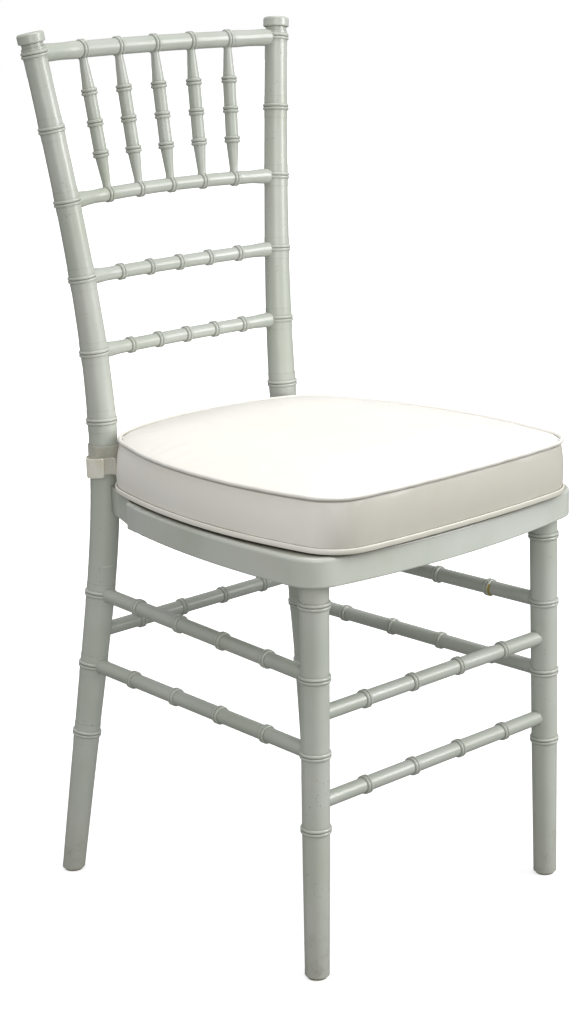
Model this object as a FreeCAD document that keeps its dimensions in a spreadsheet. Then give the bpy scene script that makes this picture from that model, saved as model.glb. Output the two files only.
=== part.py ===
import FreeCAD, Part
import Sketcher
import math
import os

# Chiavari chair with a loose seat cushion. Millimetres, +Z up, front towards -Y.
# The origin is on the floor, in the middle of the chair's outline.
# Left and right are as seen from the front, so left is -X.

doc = FreeCAD.newDocument("chiavari_chair")
sheet = doc.addObject("Spreadsheet::Sheet", "Sizes")

SIZES = [
    # rear posts: six stations of the bent axis, each with height, distance out, distance back, radius
    ("post_foot_height", 0.0), ("post_foot_out", 185.5), ("post_foot_back", 204.7),
    ("post_foot_radius", 12.6),
    ("post_low_height", 235.0), ("post_low_out", 157.6), ("post_low_back", 185.0), ("post_low_radius", 14.8),
    ("post_seat_height", 416.0), ("post_seat_out", 135.6), ("post_seat_back", 177.8),
    ("post_seat_radius", 15.9),
    ("post_waist_height", 530.0), ("post_waist_out", 131.6), ("post_waist_back", 181.8),
    ("post_waist_radius", 15.2),
    ("post_upper_height", 660.0), ("post_upper_out", 138.8), ("post_upper_back", 191.4),
    ("post_upper_radius", 13.9),
    ("post_head_height", 919.0), ("post_head_out", 170.9), ("post_head_back", 217.0),
    ("post_head_radius", 12.5),
    # rings on the rear posts, from the floor up
    ("post_ring_low", 162.6), ("post_ring_lower_stretcher", 241.0), ("post_ring_upper_stretcher", 321.2),
    ("post_ring_above_seat", 511.6), ("post_ring_lower_rail", 585.6), ("post_ring_upper_rail", 665.2),
    ("post_ring_spindle_rail", 745.8), ("post_ring_between", 821.6), ("post_ring_top_rail", 898.7),
    # knob on each rear post
    ("knob_neck_radius", 11.6), ("knob_neck_height", 8.5), ("knob_radius", 14.4), ("knob_height", 10.6),
    ("knob_top_fillet", 2.6), ("knob_under_fillet", 1.6), ("knob_cap_overlap", 1.0),
    ("post_top_margin", 3.0), ("post_ring_reach", 8.0), ("post_bend_sections", 5.0),
    # front legs
    ("leg_splay", 7.2), ("leg_foot_front", 183.5), ("leg_foot_radius", 12.6),
    ("leg_low_height", 165.0), ("leg_low_radius", 13.9),
    ("leg_top_inset", 29.3), ("leg_top_front", 185.7), ("leg_top_radius", 14.7),
    ("leg_tenon_radius", 9.0), ("leg_tenon_height", 22.0), ("leg_tenon_gap", 0.3), ("leg_foot_gap", 0.2),
    ("leg_shoulder_gap", 0.3),
    ("leg_ring_low", 159.4), ("leg_ring_lower_stretcher", 237.8), ("leg_ring_upper_stretcher", 316.2),
    ("leg_ring_top", 390.4),
    ("front_stretcher_upper_height", 277.0), ("front_stretcher_lower_height", 186.0),
    ("rear_stretcher_height", 277.5),
    # turned rods: radii, double rings and joints
    ("stretcher_radius", 7.8), ("bead_radius", 2.0), ("bead_pitch", 3.6), ("bead_sink", 0.1),
    ("leg_bead_radius", 1.9), ("leg_bead_pitch", 3.5),
    ("ring_step", 0.25), ("ring_margin", 0.05), ("rod_inset", 4.0), ("joint_clearance", 0.1),
    ("socket_depth", 30.0), ("cutter_turn", 30.0), ("cut_margin", 5.0),
    # back rails: radius, bow to the rear and rise in the middle
    ("top_rail_radius", 8.9), ("top_rail_end_radius", 9.4), ("top_rail_bow", 12.0), ("top_rail_rise", 1.5),
    ("spindle_rail_radius", 7.2), ("spindle_rail_end_radius", 8.5), ("spindle_rail_bow", 8.0),
    ("spindle_rail_rise", 4.0),
    ("back_rail_radius", 7.2), ("back_rail_end_radius", 8.3), ("upper_rail_bow", 7.0),
    ("lower_rail_bow", 6.0),
    ("rail_flare_length", 24.0), ("rail_ring_share", 0.302),
    # spindles
    ("spindle_end_radius", 4.5), ("spindle_radius", 7.1), ("spindle_inset", 3.0),
    ("spindle_tenon_length", 9.0),
    ("spindle_ring_first", 0.29), ("spindle_ring_middle", 0.505), ("spindle_ring_last", 0.72),
    # seat frame
    ("frame_bottom", 413.5), ("frame_thickness", 30.0), ("frame_half_width", 195.6),
    ("frame_side_arc", 1010.0),
    ("frame_widest_front", 128.5), ("frame_front", 230.8), ("frame_front_arc", 900.0),
    ("frame_corner_radius", 35.0), ("frame_top_fillet", 4.2), ("frame_bottom_fillet", 2.2),
    ("front_joint_front", 153.5), ("front_rail_width", 34.0),
    ("opening_front_half", 122.0), ("side_rail_front_width", 34.0), ("side_rail_rear_width", 58.6),
    ("neck_start_back", 94.5), ("neck_cove_radius", 10.0), ("neck_outer_out", 137.0),
    ("neck_outer_back", 164.5),
    ("neck_corner_out", 123.0), ("neck_corner_back", 173.5),
    ("neck_inner_out", 111.0), ("neck_inner_back", 156.5),
    ("rear_rail_start", 114.5), ("rear_rail_width", 34.0), ("saddle_clearance", 0.15),
    # seat panel
    ("rabbet_width", 8.0), ("rabbet_depth", 6.0), ("panel_thickness", 5.5), ("panel_clearance", 0.3),
    # fastenings
    ("dowel_radius", 4.0), ("dowel_length", 40.0), ("dowel_edge", 7.5), ("dowel_clearance", 0.1),
    ("dowel_end_gap", 1.0), ("rear_dowel_inset", 14.0),
    ("bolt_radius", 3.0), ("bolt_length", 52.0), ("bolt_head_radius", 5.5), ("bolt_head_height", 5.0),
    ("bolt_head_sink", 5.4), ("bolt_hole_clearance", 0.3), ("bolt_toe_in", 7.7),
    ("nut_radius", 5.0), ("nut_length", 16.0), ("nut_distance", 33.0),
    ("leg_screw_radius", 2.2), ("leg_screw_length", 55.0), ("leg_screw_head_radius", 4.6),
    ("leg_screw_head_height", 3.0), ("leg_screw_sink", 1.0),
    ("panel_screw_radius", 1.7), ("panel_screw_length", 17.0), ("panel_screw_head_radius", 3.4),
    ("panel_screw_head_height", 2.0), ("panel_screw_front_out", 70.0),
    ("panel_screw_side_front", 93.5), ("panel_screw_side_back", 26.5),
    # foot glides
    ("glide_radius", 10.0), ("glide_height", 3.0), ("glide_pin_radius", 1.8), ("glide_pin_length", 14.0),
    ("glide_pin_gap", 0.5),
    # cushion
    ("cushion_gap", 0.3), ("cushion_half_width", 192.0), ("cushion_side_arc", 640.0),
    ("cushion_widest_front", 78.5), ("cushion_front", 235.5), ("cushion_front_arc", 2000.0),
    ("cushion_back", 183.5), ("cushion_back_arc", 380.0), ("cushion_front_corner", 48.0),
    ("cushion_rear_corner", 70.0), ("cushion_side_height", 55.0), ("cushion_crown", 12.0),
    ("cushion_crown_radius", 1900.0), ("cover_thickness", 1.5), ("cushion_base_thickness", 1.6),
    ("foam_clearance", 0.2),
    ("piping_width", 1.9), ("piping_height", 3.8), ("piping_round", 0.8),
    ("binding_width", 1.4), ("binding_height", 5.5),
    # straps that hold the cushion to the rear posts
    ("strap_height", 463.0), ("strap_width", 25.0), ("strap_thickness", 1.3), ("strap_clearance", 1.2),
    ("strap_tab_reach", 62.0), ("strap_tab_sink", 0.6), ("strap_lap_gap", 0.1), ("strap_lap_angle", 80.0),
    ("strap_lap_reach", 26.0), ("strap_lap_width", 23.0),
]

for row, (alias, number) in enumerate(SIZES, 1):
    sheet.set("A%d" % row, alias)
    sheet.set("B%d" % row, str(number))
    sheet.setAlias("B%d" % row, alias)
doc.recompute()


def size(name):
    return float(getattr(sheet, name))


def value_of(formula):
    return float(sheet.evalExpression(formula))


def vector(x, y, z):
    return FreeCAD.Vector(x, y, z)


def turned_to(direction):
    return FreeCAD.Rotation(vector(0, 0, 1), direction)


def primitive(kind, name, bindings, point=None, direction=None):
    piece = doc.addObject(kind, name)
    for prop, value in bindings.items():
        if isinstance(value, str):
            piece.setExpression(prop, value)
        else:
            setattr(piece, prop, value)
    if point is not None:
        turn = turned_to(direction) if direction is not None else FreeCAD.Rotation()
        piece.Placement = FreeCAD.Placement(point, turn)
    return piece


def joined(name, pieces):
    whole = doc.addObject("Part::MultiFuse", name)
    whole.Shapes = pieces
    return whole


def shared(name, pieces):
    whole = doc.addObject("Part::MultiCommon", name)
    whole.Shapes = pieces
    return whole


def cut(name, base, tools):
    tool = tools[0] if len(tools) == 1 else joined(name + "_tools", tools)
    whole = doc.addObject("Part::Cut", name)
    whole.Base = base
    whole.Tool = tool
    return whole


def bored(name, base, tools):
    # round cutters cut one after another, each turned about its own axis until its whole bore comes out
    whole = base
    for number, tool in enumerate(tools, 1):
        last = number == len(tools)
        before = whole
        whole = cut(name if last else "%s_bored_%d" % (name, number), before, [tool])
        whole.recompute(True)
        tries = 0
        while before.Shape.Volume - whole.Shape.Volume < 1.0:
            tries += 1
            if tries * size("cutter_turn") > 180.0:
                raise RuntimeError("%s took nothing from %s" % (tool.Name, name))
            turn = FreeCAD.Rotation(vector(0, 0, 1), size("cutter_turn"))
            tool.Placement = tool.Placement.multiply(FreeCAD.Placement(vector(0, 0, 0), turn))
            whole.recompute(True)
    return whole


def mirrored(name, source):
    whole = doc.addObject("Part::Mirroring", name)
    whole.Source = source
    whole.Base = vector(0, 0, 0)
    whole.Normal = vector(1, 0, 0)
    return whole


def group(name, pieces):
    whole = doc.addObject("Part::Compound", name)
    whole.Links = pieces
    return whole


def polygon_pad(name, corners, bottom, height):
    # a prism over a plan outline whose corners are pairs of sheet formulas
    body = doc.addObject("PartDesign::Body", name)
    sketch = body.newObject("Sketcher::SketchObject", name + "_outline")
    plane = [item for item in body.Origin.OriginFeatures if item.Role == "XY_Plane"][0]
    sketch.AttachmentSupport = [(plane, "")]
    sketch.MapMode = "FlatFace"
    sketch.setExpression("AttachmentOffset.Base.z", bottom)
    places = [vector(value_of(across), value_of(along), 0) for across, along in corners]
    count = len(places)
    for number in range(count):
        sketch.addGeometry(Part.LineSegment(places[number], places[(number + 1) % count]), False)
    for number in range(count):
        sketch.addConstraint(Sketcher.Constraint("Coincident", number, 2, (number + 1) % count, 1))
    for number, (across, along) in enumerate(corners):
        for kind, formula in (("DistanceX", across), ("DistanceY", along)):
            value = places[number].x if kind == "DistanceX" else places[number].y
            index = sketch.addConstraint(Sketcher.Constraint(kind, -1, 1, number, 1, value))
            sketch.setExpression("Constraints[%d]" % index, formula)
    pad = body.newObject("PartDesign::Pad", name + "_pad")
    pad.Profile = sketch
    pad.setExpression("Length", height)
    body.Tip = pad
    return body


def grown_pad(name, body, grow, bottom, height):
    # a prism over the same outline as another pad, grown all round
    outline = doc.addObject("Part::Offset2D", name + "_outline")
    outline.Source = body.Tip.Profile[0]
    outline.Join = 2
    outline.setExpression("Value", grow)
    pad = doc.addObject("Part::Extrusion", name)
    pad.Base = outline
    pad.DirMode = "Custom"
    pad.Dir = vector(0, 0, 1)
    pad.Solid = True
    pad.setExpression("LengthFwd", height)
    pad.setExpression("Placement.Base.z", bottom)
    return pad


# The bent axis of a rear post: a smooth curve through its six stations.
STATIONS = ["foot", "low", "seat", "waist", "upper", "head"]


def natural_curve(heights, values):
    count = len(heights)
    step = [heights[i + 1] - heights[i] for i in range(count - 1)]
    slope = [(values[i + 1] - values[i]) / step[i] for i in range(count - 1)]
    diagonal = [1.0] * count
    upper = [0.0] * count
    right = [0.0] * count
    for i in range(1, count - 1):
        lower = step[i - 1]
        diagonal[i] = 2.0 * (step[i - 1] + step[i]) - lower * upper[i - 1]
        upper[i] = step[i] / diagonal[i]
        right[i] = (6.0 * (slope[i] - slope[i - 1]) - lower * right[i - 1]) / diagonal[i]
    bend = [0.0] * count
    for i in range(count - 2, 0, -1):
        bend[i] = right[i] - upper[i] * bend[i + 1]

    def value_at(height):
        i = 0
        while i < count - 2 and height > heights[i + 1]:
            i += 1
        a = (heights[i + 1] - height) / step[i]
        b = (height - heights[i]) / step[i]
        curve = (a ** 3 - a) * bend[i] + (b ** 3 - b) * bend[i + 1]
        return a * values[i] + b * values[i + 1] + curve * step[i] ** 2 / 6.0

    return value_at


post_heights = [size("post_%s_height" % name) for name in STATIONS]
post_out = natural_curve(post_heights, [size("post_%s_out" % name) for name in STATIONS])
post_back = natural_curve(post_heights, [size("post_%s_back" % name) for name in STATIONS])
post_radius = natural_curve(post_heights, [size("post_%s_radius" % name) for name in STATIONS])


def post_point(height, side=1):
    return vector(side * post_out(height), post_back(height), height)


def post_direction(height, side=1):
    return (post_point(height + 1.0, side) - post_point(height - 1.0, side)).normalize()


def leg_point(height, side=1):
    share = height / size("frame_bottom")
    out = size("frame_half_width") - size("leg_top_inset") + size("leg_splay") * (1.0 - share)
    front = size("leg_foot_front") + (size("leg_top_front") - size("leg_foot_front")) * share
    return vector(side * out, -front, height)


def leg_radius(height):
    low = size("leg_low_height")
    if height < low:
        return size("leg_foot_radius") + (size("leg_low_radius") - size("leg_foot_radius")) * height / low
    share = (height - low) / (size("frame_bottom") - low)
    return size("leg_low_radius") + (size("leg_top_radius") - size("leg_low_radius")) * share


def double_ring(name, point, direction, radius, bead, pitch):
    # two half-round beads side by side round a turned rod
    rings = []
    for number, shift in enumerate((-0.5, 0.5)):
        centre = point + direction * (shift * size(pitch))
        ring = primitive("Part::Torus", "%s_%d" % (name, number + 1),
                         {"Radius1": radius - size("bead_sink"), "Radius2": "Sizes." + bead},
                         centre, direction)
        rings.append(ring)
    return rings


def ring_half(bead, pitch):
    return size(pitch) / 2.0 + size(bead) + size("ring_margin")


def ring_block(name, point, direction, radius, half, bead, pitch):
    # a short length of rod that carries a double ring, with flat ends for the lengths beside it
    core = primitive("Part::Cylinder", name + "_core",
                     {"Radius": radius + size("ring_step"), "Height": 2.0 * half},
                     point - direction * half, direction)
    return joined(name, [core] + double_ring(name, point, direction, radius, bead, pitch))


def bent_length(name, sections):
    # a smooth length of rod through sections of centre, direction and radius
    circles = []
    for number, (point, direction, radius) in enumerate(sections):
        circles.append(primitive("Part::Circle", "%s_section_%d" % (name, number + 1), {"Radius": radius},
                                 point, direction))
    loft = doc.addObject("Part::Loft", name)
    loft.Sections = circles
    loft.Solid = True
    loft.Ruled = False
    return loft


def turned_rod(name, first, last, rings, section_at, between, bead, pitch):
    # a bent rod: ring blocks at the given places and half lengths, with smooth lengths between them
    pieces = []
    stops = [(first, 0.0)] + rings + [(last, 0.0)]
    for number, (place, half) in enumerate(rings, 1):
        point, direction, radius = section_at(place)
        pieces.append(ring_block("%s_ring_%d" % (name, number), point, direction, radius, half, bead, pitch))
    for number in range(len(stops) - 1):
        start, start_half = stops[number]
        end, end_half = stops[number + 1]
        point, direction, radius = section_at(start)
        begin = (point + direction * start_half, direction, radius)
        point, direction, radius = section_at(end)
        finish = (point - direction * end_half, direction, radius)
        inner = [section_at(place) for place in between
                 if start + 2.0 * start_half < place < end - 2.0 * end_half and start < place < end]
        if not inner:
            inner.append(section_at((start + start_half + end - end_half) / 2.0))
        pieces.append(bent_length("%s_bent_%d" % (name, number + 1), [begin] + inner + [finish]))
    return pieces


def socket(name, point, direction, radius):
    # a bore for a rod end, from just past the rod's end outwards
    start = point + direction * (size("rod_inset") - size("joint_clearance"))
    return primitive("Part::Cylinder", name,
                     {"Radius": radius + " + Sizes.joint_clearance", "Height": "Sizes.socket_depth"},
                     start, direction)


# Rods between the legs: each runs from one leg axis to another at the height of its joint.
upper_side_front = leg_point(size("leg_ring_upper_stretcher"))
lower_side_front = leg_point(size("leg_ring_lower_stretcher"))
upper_side_rear = post_point(size("post_ring_upper_stretcher"))
lower_side_rear = post_point(size("post_ring_lower_stretcher"))
upper_front_end = leg_point(size("front_stretcher_upper_height"))
lower_front_end = leg_point(size("front_stretcher_lower_height"))
rear_end = post_point(size("rear_stretcher_height"))


def straight_rod(name, start, end, rings=4):
    # a turned stretcher with four double rings that divide its length in five
    run = end - start
    length = run.Length
    axis = vector(0, 0, 1)
    rod = primitive("Part::Cylinder", name + "_rod",
                    {"Radius": "Sizes.stretcher_radius", "Height": length - 2.0 * size("rod_inset")},
                    axis * size("rod_inset"), axis)
    pieces = [rod]
    for number in range(1, rings + 1):
        pieces += double_ring("%s_ring_%d" % (name, number), axis * (length * number / (rings + 1.0)), axis,
                              size("stretcher_radius"), "bead_radius", "bead_pitch")
    whole = joined(name, pieces)
    whole.Placement = FreeCAD.Placement(start, turned_to(run))
    return whole


# Back rails: bowed rods between the rear posts, flared where they enter the posts.
RAILS = {
    "top_rail": ("post_ring_top_rail", "top_rail_bow", "top_rail_rise", "top_rail_radius",
                 "top_rail_end_radius"),
    "spindle_rail": ("post_ring_spindle_rail", "spindle_rail_bow", "spindle_rail_rise",
                     "spindle_rail_radius", "spindle_rail_end_radius"),
    "upper_back_rail": ("post_ring_upper_rail", "upper_rail_bow", None, "back_rail_radius",
                        "back_rail_end_radius"),
    "lower_back_rail": ("post_ring_lower_rail", "lower_rail_bow", None, "back_rail_radius",
                        "back_rail_end_radius"),
}


def rail_point(name, across):
    ring, bow, rise, _, _ = RAILS[name]
    end = post_point(size(ring))
    share = 1.0 - (across / end.x) ** 2
    lift = size(rise) if rise else 0.0
    return vector(across, end.y + size(bow) * share, end.z + lift * share)


def rail_direction(name, across):
    return (rail_point(name, across + 0.5) - rail_point(name, across - 0.5)).normalize()


def rail_radius_at(name, across):
    ring, _, _, radius, end_radius = RAILS[name]
    height = size(ring)
    reach = post_out(height) - post_radius(height)
    share = (abs(across) - (reach - size("rail_flare_length"))) / size("rail_flare_length")
    share = min(1.0, max(0.0, share))
    smooth = share * share * (3.0 - 2.0 * share)
    return size(radius) + (size(end_radius) - size(radius)) * smooth


def rail_ring_place(name, number):
    return number * size("rail_ring_share") * post_out(size(RAILS[name][0]))


def bowed_rail(name, piece_name):
    half = post_out(size(RAILS[name][0])) - size("rod_inset")
    reach = post_out(size(RAILS[name][0])) - post_radius(size(RAILS[name][0]))
    flare = size("rail_flare_length")
    flares = [reach - flare * third / 3.0 for third in range(4)]
    between = [-place for place in flares] + flares[::-1]
    rings = [(rail_ring_place(name, number),
              ring_half("bead_radius", "bead_pitch")) for number in range(-2, 3)]

    def section_at(across):
        return rail_point(name, across), rail_direction(name, across), rail_radius_at(name, across)

    return joined(piece_name, turned_rod(name, -half, half, rings, section_at, between,
                                         "bead_radius", "bead_pitch"))


# Spindles: each runs from a ring of the spindle rail up to the same ring of the top rail.
def spindle_ends(number):
    low = rail_point("spindle_rail", rail_ring_place("spindle_rail", number))
    high = rail_point("top_rail", rail_ring_place("top_rail", number))
    return low, high


def spindle(name, number):
    low, high = spindle_ends(number)
    run = high - low
    length = run.Length
    axis = vector(0, 0, 1)
    inset = size("spindle_inset")
    first = length * (1.0 - size("spindle_ring_last"))
    last = length * (1.0 - size("spindle_ring_first"))
    middle = length * (1.0 - size("spindle_ring_middle"))
    tenon = size("spindle_tenon_length")
    pieces = [
        primitive("Part::Cylinder", name + "_lower_tenon",
                  {"Radius": "Sizes.spindle_end_radius", "Height": "Sizes.spindle_tenon_length"},
                  axis * inset, axis),
        primitive("Part::Cone", name + "_lower_taper",
                  {"Radius1": "Sizes.spindle_end_radius", "Radius2": "Sizes.spindle_radius",
                   "Height": first - inset - tenon}, axis * (inset + tenon), axis),
        primitive("Part::Cylinder", name + "_body",
                  {"Radius": "Sizes.spindle_radius", "Height": last - first}, axis * first, axis),
        primitive("Part::Cone", name + "_upper_taper",
                  {"Radius1": "Sizes.spindle_radius", "Radius2": "Sizes.spindle_end_radius",
                   "Height": length - inset - tenon - last}, axis * last, axis),
        primitive("Part::Cylinder", name + "_upper_tenon",
                  {"Radius": "Sizes.spindle_end_radius", "Height": "Sizes.spindle_tenon_length"},
                  axis * (length - inset - tenon), axis),
    ]
    for ring, place in enumerate((first, middle, last)):
        pieces += double_ring("%s_ring_%d" % (name, ring + 1), axis * place, axis,
                              size("spindle_radius"), "bead_radius", "bead_pitch")
    whole = joined(name, pieces)
    whole.Placement = FreeCAD.Placement(low, turned_to(run))
    return whole


def spindle_sockets(rail):
    bores = []
    for number in range(-2, 3):
        low, high = spindle_ends(number)
        start, run = (low, high - low) if rail == "spindle_rail" else (high, low - high)
        direction = run.normalize()
        point = start + direction * (size("spindle_inset") - size("joint_clearance"))
        bores.append(primitive("Part::Cylinder", "%s_spindle_socket_%d" % (rail, number + 3),
                               {"Radius": "Sizes.spindle_end_radius + Sizes.joint_clearance",
                                "Height": "Sizes.spindle_tenon_length"}, point, direction))
    return bores


upper_front_stretcher = straight_rod("upper_front_stretcher",
                                     leg_point(size("front_stretcher_upper_height"), -1),
                                     upper_front_end)
lower_front_stretcher = straight_rod("lower_front_stretcher",
                                     leg_point(size("front_stretcher_lower_height"), -1),
                                     lower_front_end)
rear_stretcher = straight_rod("rear_stretcher", post_point(size("rear_stretcher_height"), -1), rear_end)
upper_right_stretcher = straight_rod("upper_right_stretcher", upper_side_front, upper_side_rear)
lower_right_stretcher = straight_rod("lower_right_stretcher", lower_side_front, lower_side_rear)
upper_left_stretcher = mirrored("upper_left_stretcher", upper_right_stretcher)
lower_left_stretcher = mirrored("lower_left_stretcher", lower_right_stretcher)

top_rail = cut("top_rail", bowed_rail("top_rail", "top_rail_turned"), spindle_sockets("top_rail"))
spindle_rail = cut("spindle_rail", bowed_rail("spindle_rail", "spindle_rail_turned"),
                   spindle_sockets("spindle_rail"))
upper_back_rail = bowed_rail("upper_back_rail", "upper_back_rail")
lower_back_rail = bowed_rail("lower_back_rail", "lower_back_rail")
spindles = [spindle("back_spindle_%d" % (number + 3), number) for number in range(-2, 3)]

# Bolt through each rear post into the neck of the side rail.
bolt_height = size("frame_bottom") + size("frame_thickness") / 2.0
bolt_axis_point = post_point(bolt_height)
toe_in = math.radians(size("bolt_toe_in"))
bolt_direction = vector(-math.sin(toe_in), -math.cos(toe_in), 0)
bolt_seat = bolt_axis_point - bolt_direction * (post_radius(bolt_height) - size("bolt_head_sink"))


def bolt_bore(name):
    shank = primitive("Part::Cylinder", name + "_shank",
                      {"Radius": "Sizes.bolt_radius + Sizes.bolt_hole_clearance",
                       "Height": "Sizes.bolt_length + Sizes.dowel_end_gap"}, bolt_seat, bolt_direction)
    head = primitive("Part::Cylinder", name + "_head",
                     {"Radius": "Sizes.bolt_head_radius + Sizes.bolt_hole_clearance",
                      "Height": "Sizes.bolt_head_sink + 2 * Sizes.cut_margin"}, bolt_seat,
                      bolt_direction * -1)
    return [shank, head]


# Rear post: bent and tapered rod with nine double rings and a turned knob.
post_top = size("post_ring_top_rail") + size("leg_bead_pitch") + size("post_top_margin")
post_rings = ["post_ring_low", "post_ring_lower_stretcher", "post_ring_upper_stretcher",
              "post_ring_above_seat",
              "post_ring_lower_rail", "post_ring_upper_rail", "post_ring_spindle_rail", "post_ring_between",
              "post_ring_top_rail"]
bend_low = size("post_ring_upper_stretcher")
bend_high = size("post_ring_above_seat")
bend_sections = int(size("post_bend_sections"))
post_between = [bend_low + (bend_high - bend_low) * (number + 1) / (bend_sections + 1)
                for number in range(bend_sections)]


def post_section(height):
    if height <= size("glide_height"):
        return post_point(height), vector(0, 0, 1), post_radius(height)
    return post_point(height), post_direction(height), post_radius(height)


# each ring block is long enough to hold the whole mouth of the socket bored through it
post_ring_half = ring_half("leg_bead_radius", "leg_bead_pitch") + size("post_ring_reach")
post_ring_stops = [(size(ring), min(post_ring_half, post_top - size(ring) - size("knob_cap_overlap")))
                   for ring in post_rings]
post_pieces = turned_rod("post", size("glide_height"), post_top, post_ring_stops, post_section,
                         post_between, "leg_bead_radius", "leg_bead_pitch")
knob_direction = post_direction(post_top)
neck_start = post_point(post_top) - knob_direction * size("post_top_margin")
neck = primitive("Part::Cylinder", "knob_neck",
                 {"Radius": "Sizes.knob_neck_radius", "Height": "Sizes.knob_neck_height"},
                 neck_start, knob_direction)
cap_start = neck_start + knob_direction * (size("knob_neck_height") - size("knob_cap_overlap"))
cap = primitive("Part::Cylinder", "knob_cap_blank",
                {"Radius": "Sizes.knob_radius", "Height": "Sizes.knob_height"}, cap_start, knob_direction)
cap.recompute()
knob = doc.addObject("Part::Fillet", "knob_cap")
knob.Base = cap
rims = []
for number, edge in enumerate(cap.Shape.Edges, 1):
    if edge.Closed:
        far = (edge.CenterOfMass - cap_start).Length > size("knob_height") / 2.0
        radius = size("knob_top_fillet") if far else size("knob_under_fillet")
        rims.append((number, radius, radius))
knob.Edges = rims
post_pieces += [neck, knob]

post_sockets = [
    socket("post_socket_upper", upper_side_rear, (upper_side_front - upper_side_rear).normalize(),
           "Sizes.stretcher_radius"),
    socket("post_socket_lower", lower_side_rear, (lower_side_front - lower_side_rear).normalize(),
           "Sizes.stretcher_radius"),
    socket("post_socket_rear", rear_end, vector(-1, 0, 0), "Sizes.stretcher_radius"),
]
for name, (ring, _, _, _, end_radius) in RAILS.items():
    end = post_point(size(ring))
    post_sockets.append(socket("post_socket_" + name, end, rail_direction(name, end.x) * -1,
                               "Sizes." + end_radius))
pin_point = post_point(size("glide_height"))
glide_pin_bore = primitive("Part::Cylinder", "post_glide_bore",
                           {"Radius": "Sizes.glide_pin_radius", "Height": "Sizes.glide_pin_length"},
                           pin_point)
right_rear_post = bored("right_rear_post", joined("right_post_turned", post_pieces),
                        post_sockets + bolt_bore("post_bolt_bore") + [glide_pin_bore])
left_rear_post = mirrored("left_rear_post", right_rear_post)

# Front leg: tapered rod with four double rings and a round tenon into the seat frame.
leg_direction = (leg_point(size("frame_bottom")) - leg_point(0.0)).normalize()
leg_foot_place = leg_point(size("glide_height") + size("leg_foot_gap"))
leg_low_place = leg_point(size("leg_low_height"))
leg_top_place = leg_point(size("frame_bottom") - size("leg_shoulder_gap"))
leg_pieces = [
    primitive("Part::Cone", "right_leg_lower",
              {"Radius1": "Sizes.leg_foot_radius", "Radius2": "Sizes.leg_low_radius",
               "Height": (leg_low_place - leg_foot_place).Length}, leg_foot_place, leg_direction),
    primitive("Part::Cone", "right_leg_upper",
              {"Radius1": "Sizes.leg_low_radius", "Radius2": "Sizes.leg_top_radius",
               "Height": (leg_top_place - leg_low_place).Length}, leg_low_place, leg_direction),
]
leg_rings = ["leg_ring_low", "leg_ring_lower_stretcher", "leg_ring_upper_stretcher", "leg_ring_top"]
for number, ring in enumerate(leg_rings):
    leg_pieces += double_ring("leg_ring_%d" % (number + 1), leg_point(size(ring)), leg_direction,
                              leg_radius(size(ring)), "leg_bead_radius", "leg_bead_pitch")
leg_top = leg_point(size("frame_bottom"))
leg_tenon = primitive("Part::Cylinder", "right_leg_tenon",
                      {"Radius": "Sizes.leg_tenon_radius",
                       "Height": "Sizes.leg_tenon_height + Sizes.cut_margin"},
                      leg_top - vector(0, 0, size("cut_margin")))
leg_pieces.append(leg_tenon)
frame_top = size("frame_bottom") + size("frame_thickness")
screw_top = vector(leg_top.x, leg_top.y, frame_top - size("leg_screw_sink"))
leg_screw_bore = primitive("Part::Cylinder", "leg_screw_bore",
                           {"Radius": "Sizes.leg_screw_radius", "Height": "Sizes.leg_screw_length"},
                           screw_top, vector(0, 0, -1))
leg_sockets = [
    socket("leg_socket_upper", upper_side_front, (upper_side_rear - upper_side_front).normalize(),
           "Sizes.stretcher_radius"),
    socket("leg_socket_lower", lower_side_front, (lower_side_rear - lower_side_front).normalize(),
           "Sizes.stretcher_radius"),
    socket("leg_socket_upper_front", upper_front_end, vector(-1, 0, 0), "Sizes.stretcher_radius"),
    socket("leg_socket_lower_front", lower_front_end, vector(-1, 0, 0), "Sizes.stretcher_radius"),
    primitive("Part::Cylinder", "leg_glide_bore",
              {"Radius": "Sizes.glide_pin_radius", "Height": "Sizes.glide_pin_length"},
              leg_point(size("glide_height"))),
    leg_screw_bore,
]
right_front_leg = bored("right_front_leg", joined("right_leg_turned", leg_pieces), leg_sockets)
left_front_leg = mirrored("left_front_leg", right_front_leg)


# Seat frame: one outline with bowed sides and front, sawn into four rails.
def frame_disc(name, centre_x, centre_y, radius):
    disc = primitive("Part::Cylinder", name, {"Radius": radius, "Height": "Sizes.frame_thickness"})
    disc.setExpression("Placement.Base.x", centre_x)
    disc.setExpression("Placement.Base.y", centre_y)
    disc.setExpression("Placement.Base.z", "Sizes.frame_bottom")
    return disc


opening_front_out = "(Sizes.frame_half_width - Sizes.side_rail_front_width)"
opening_rear_out = "(Sizes.frame_half_width - Sizes.side_rail_rear_width)"
below_frame = "Sizes.frame_bottom - Sizes.cut_margin"
past_frame = "Sizes.frame_thickness + 2 * Sizes.cut_margin"
frame_blank = shared("frame_blank", [
    frame_disc("frame_right_side", "Sizes.frame_half_width - Sizes.frame_side_arc",
               "-Sizes.frame_widest_front",
               "Sizes.frame_side_arc"),
    frame_disc("frame_left_side", "Sizes.frame_side_arc - Sizes.frame_half_width",
               "-Sizes.frame_widest_front",
               "Sizes.frame_side_arc"),
    frame_disc("frame_front_face", "0", "Sizes.frame_front_arc - Sizes.frame_front", "Sizes.frame_front_arc"),
])
side_at_neck = "(Sizes.frame_half_width - Sizes.frame_side_arc + sqrt(Sizes.frame_side_arc ^ 2 " \
               "- (Sizes.neck_start_back + Sizes.frame_widest_front) ^ 2))"
far_back = "Sizes.neck_outer_back + 12 * Sizes.cut_margin"
far_out = "Sizes.frame_half_width + 6 * Sizes.cut_margin"
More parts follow.
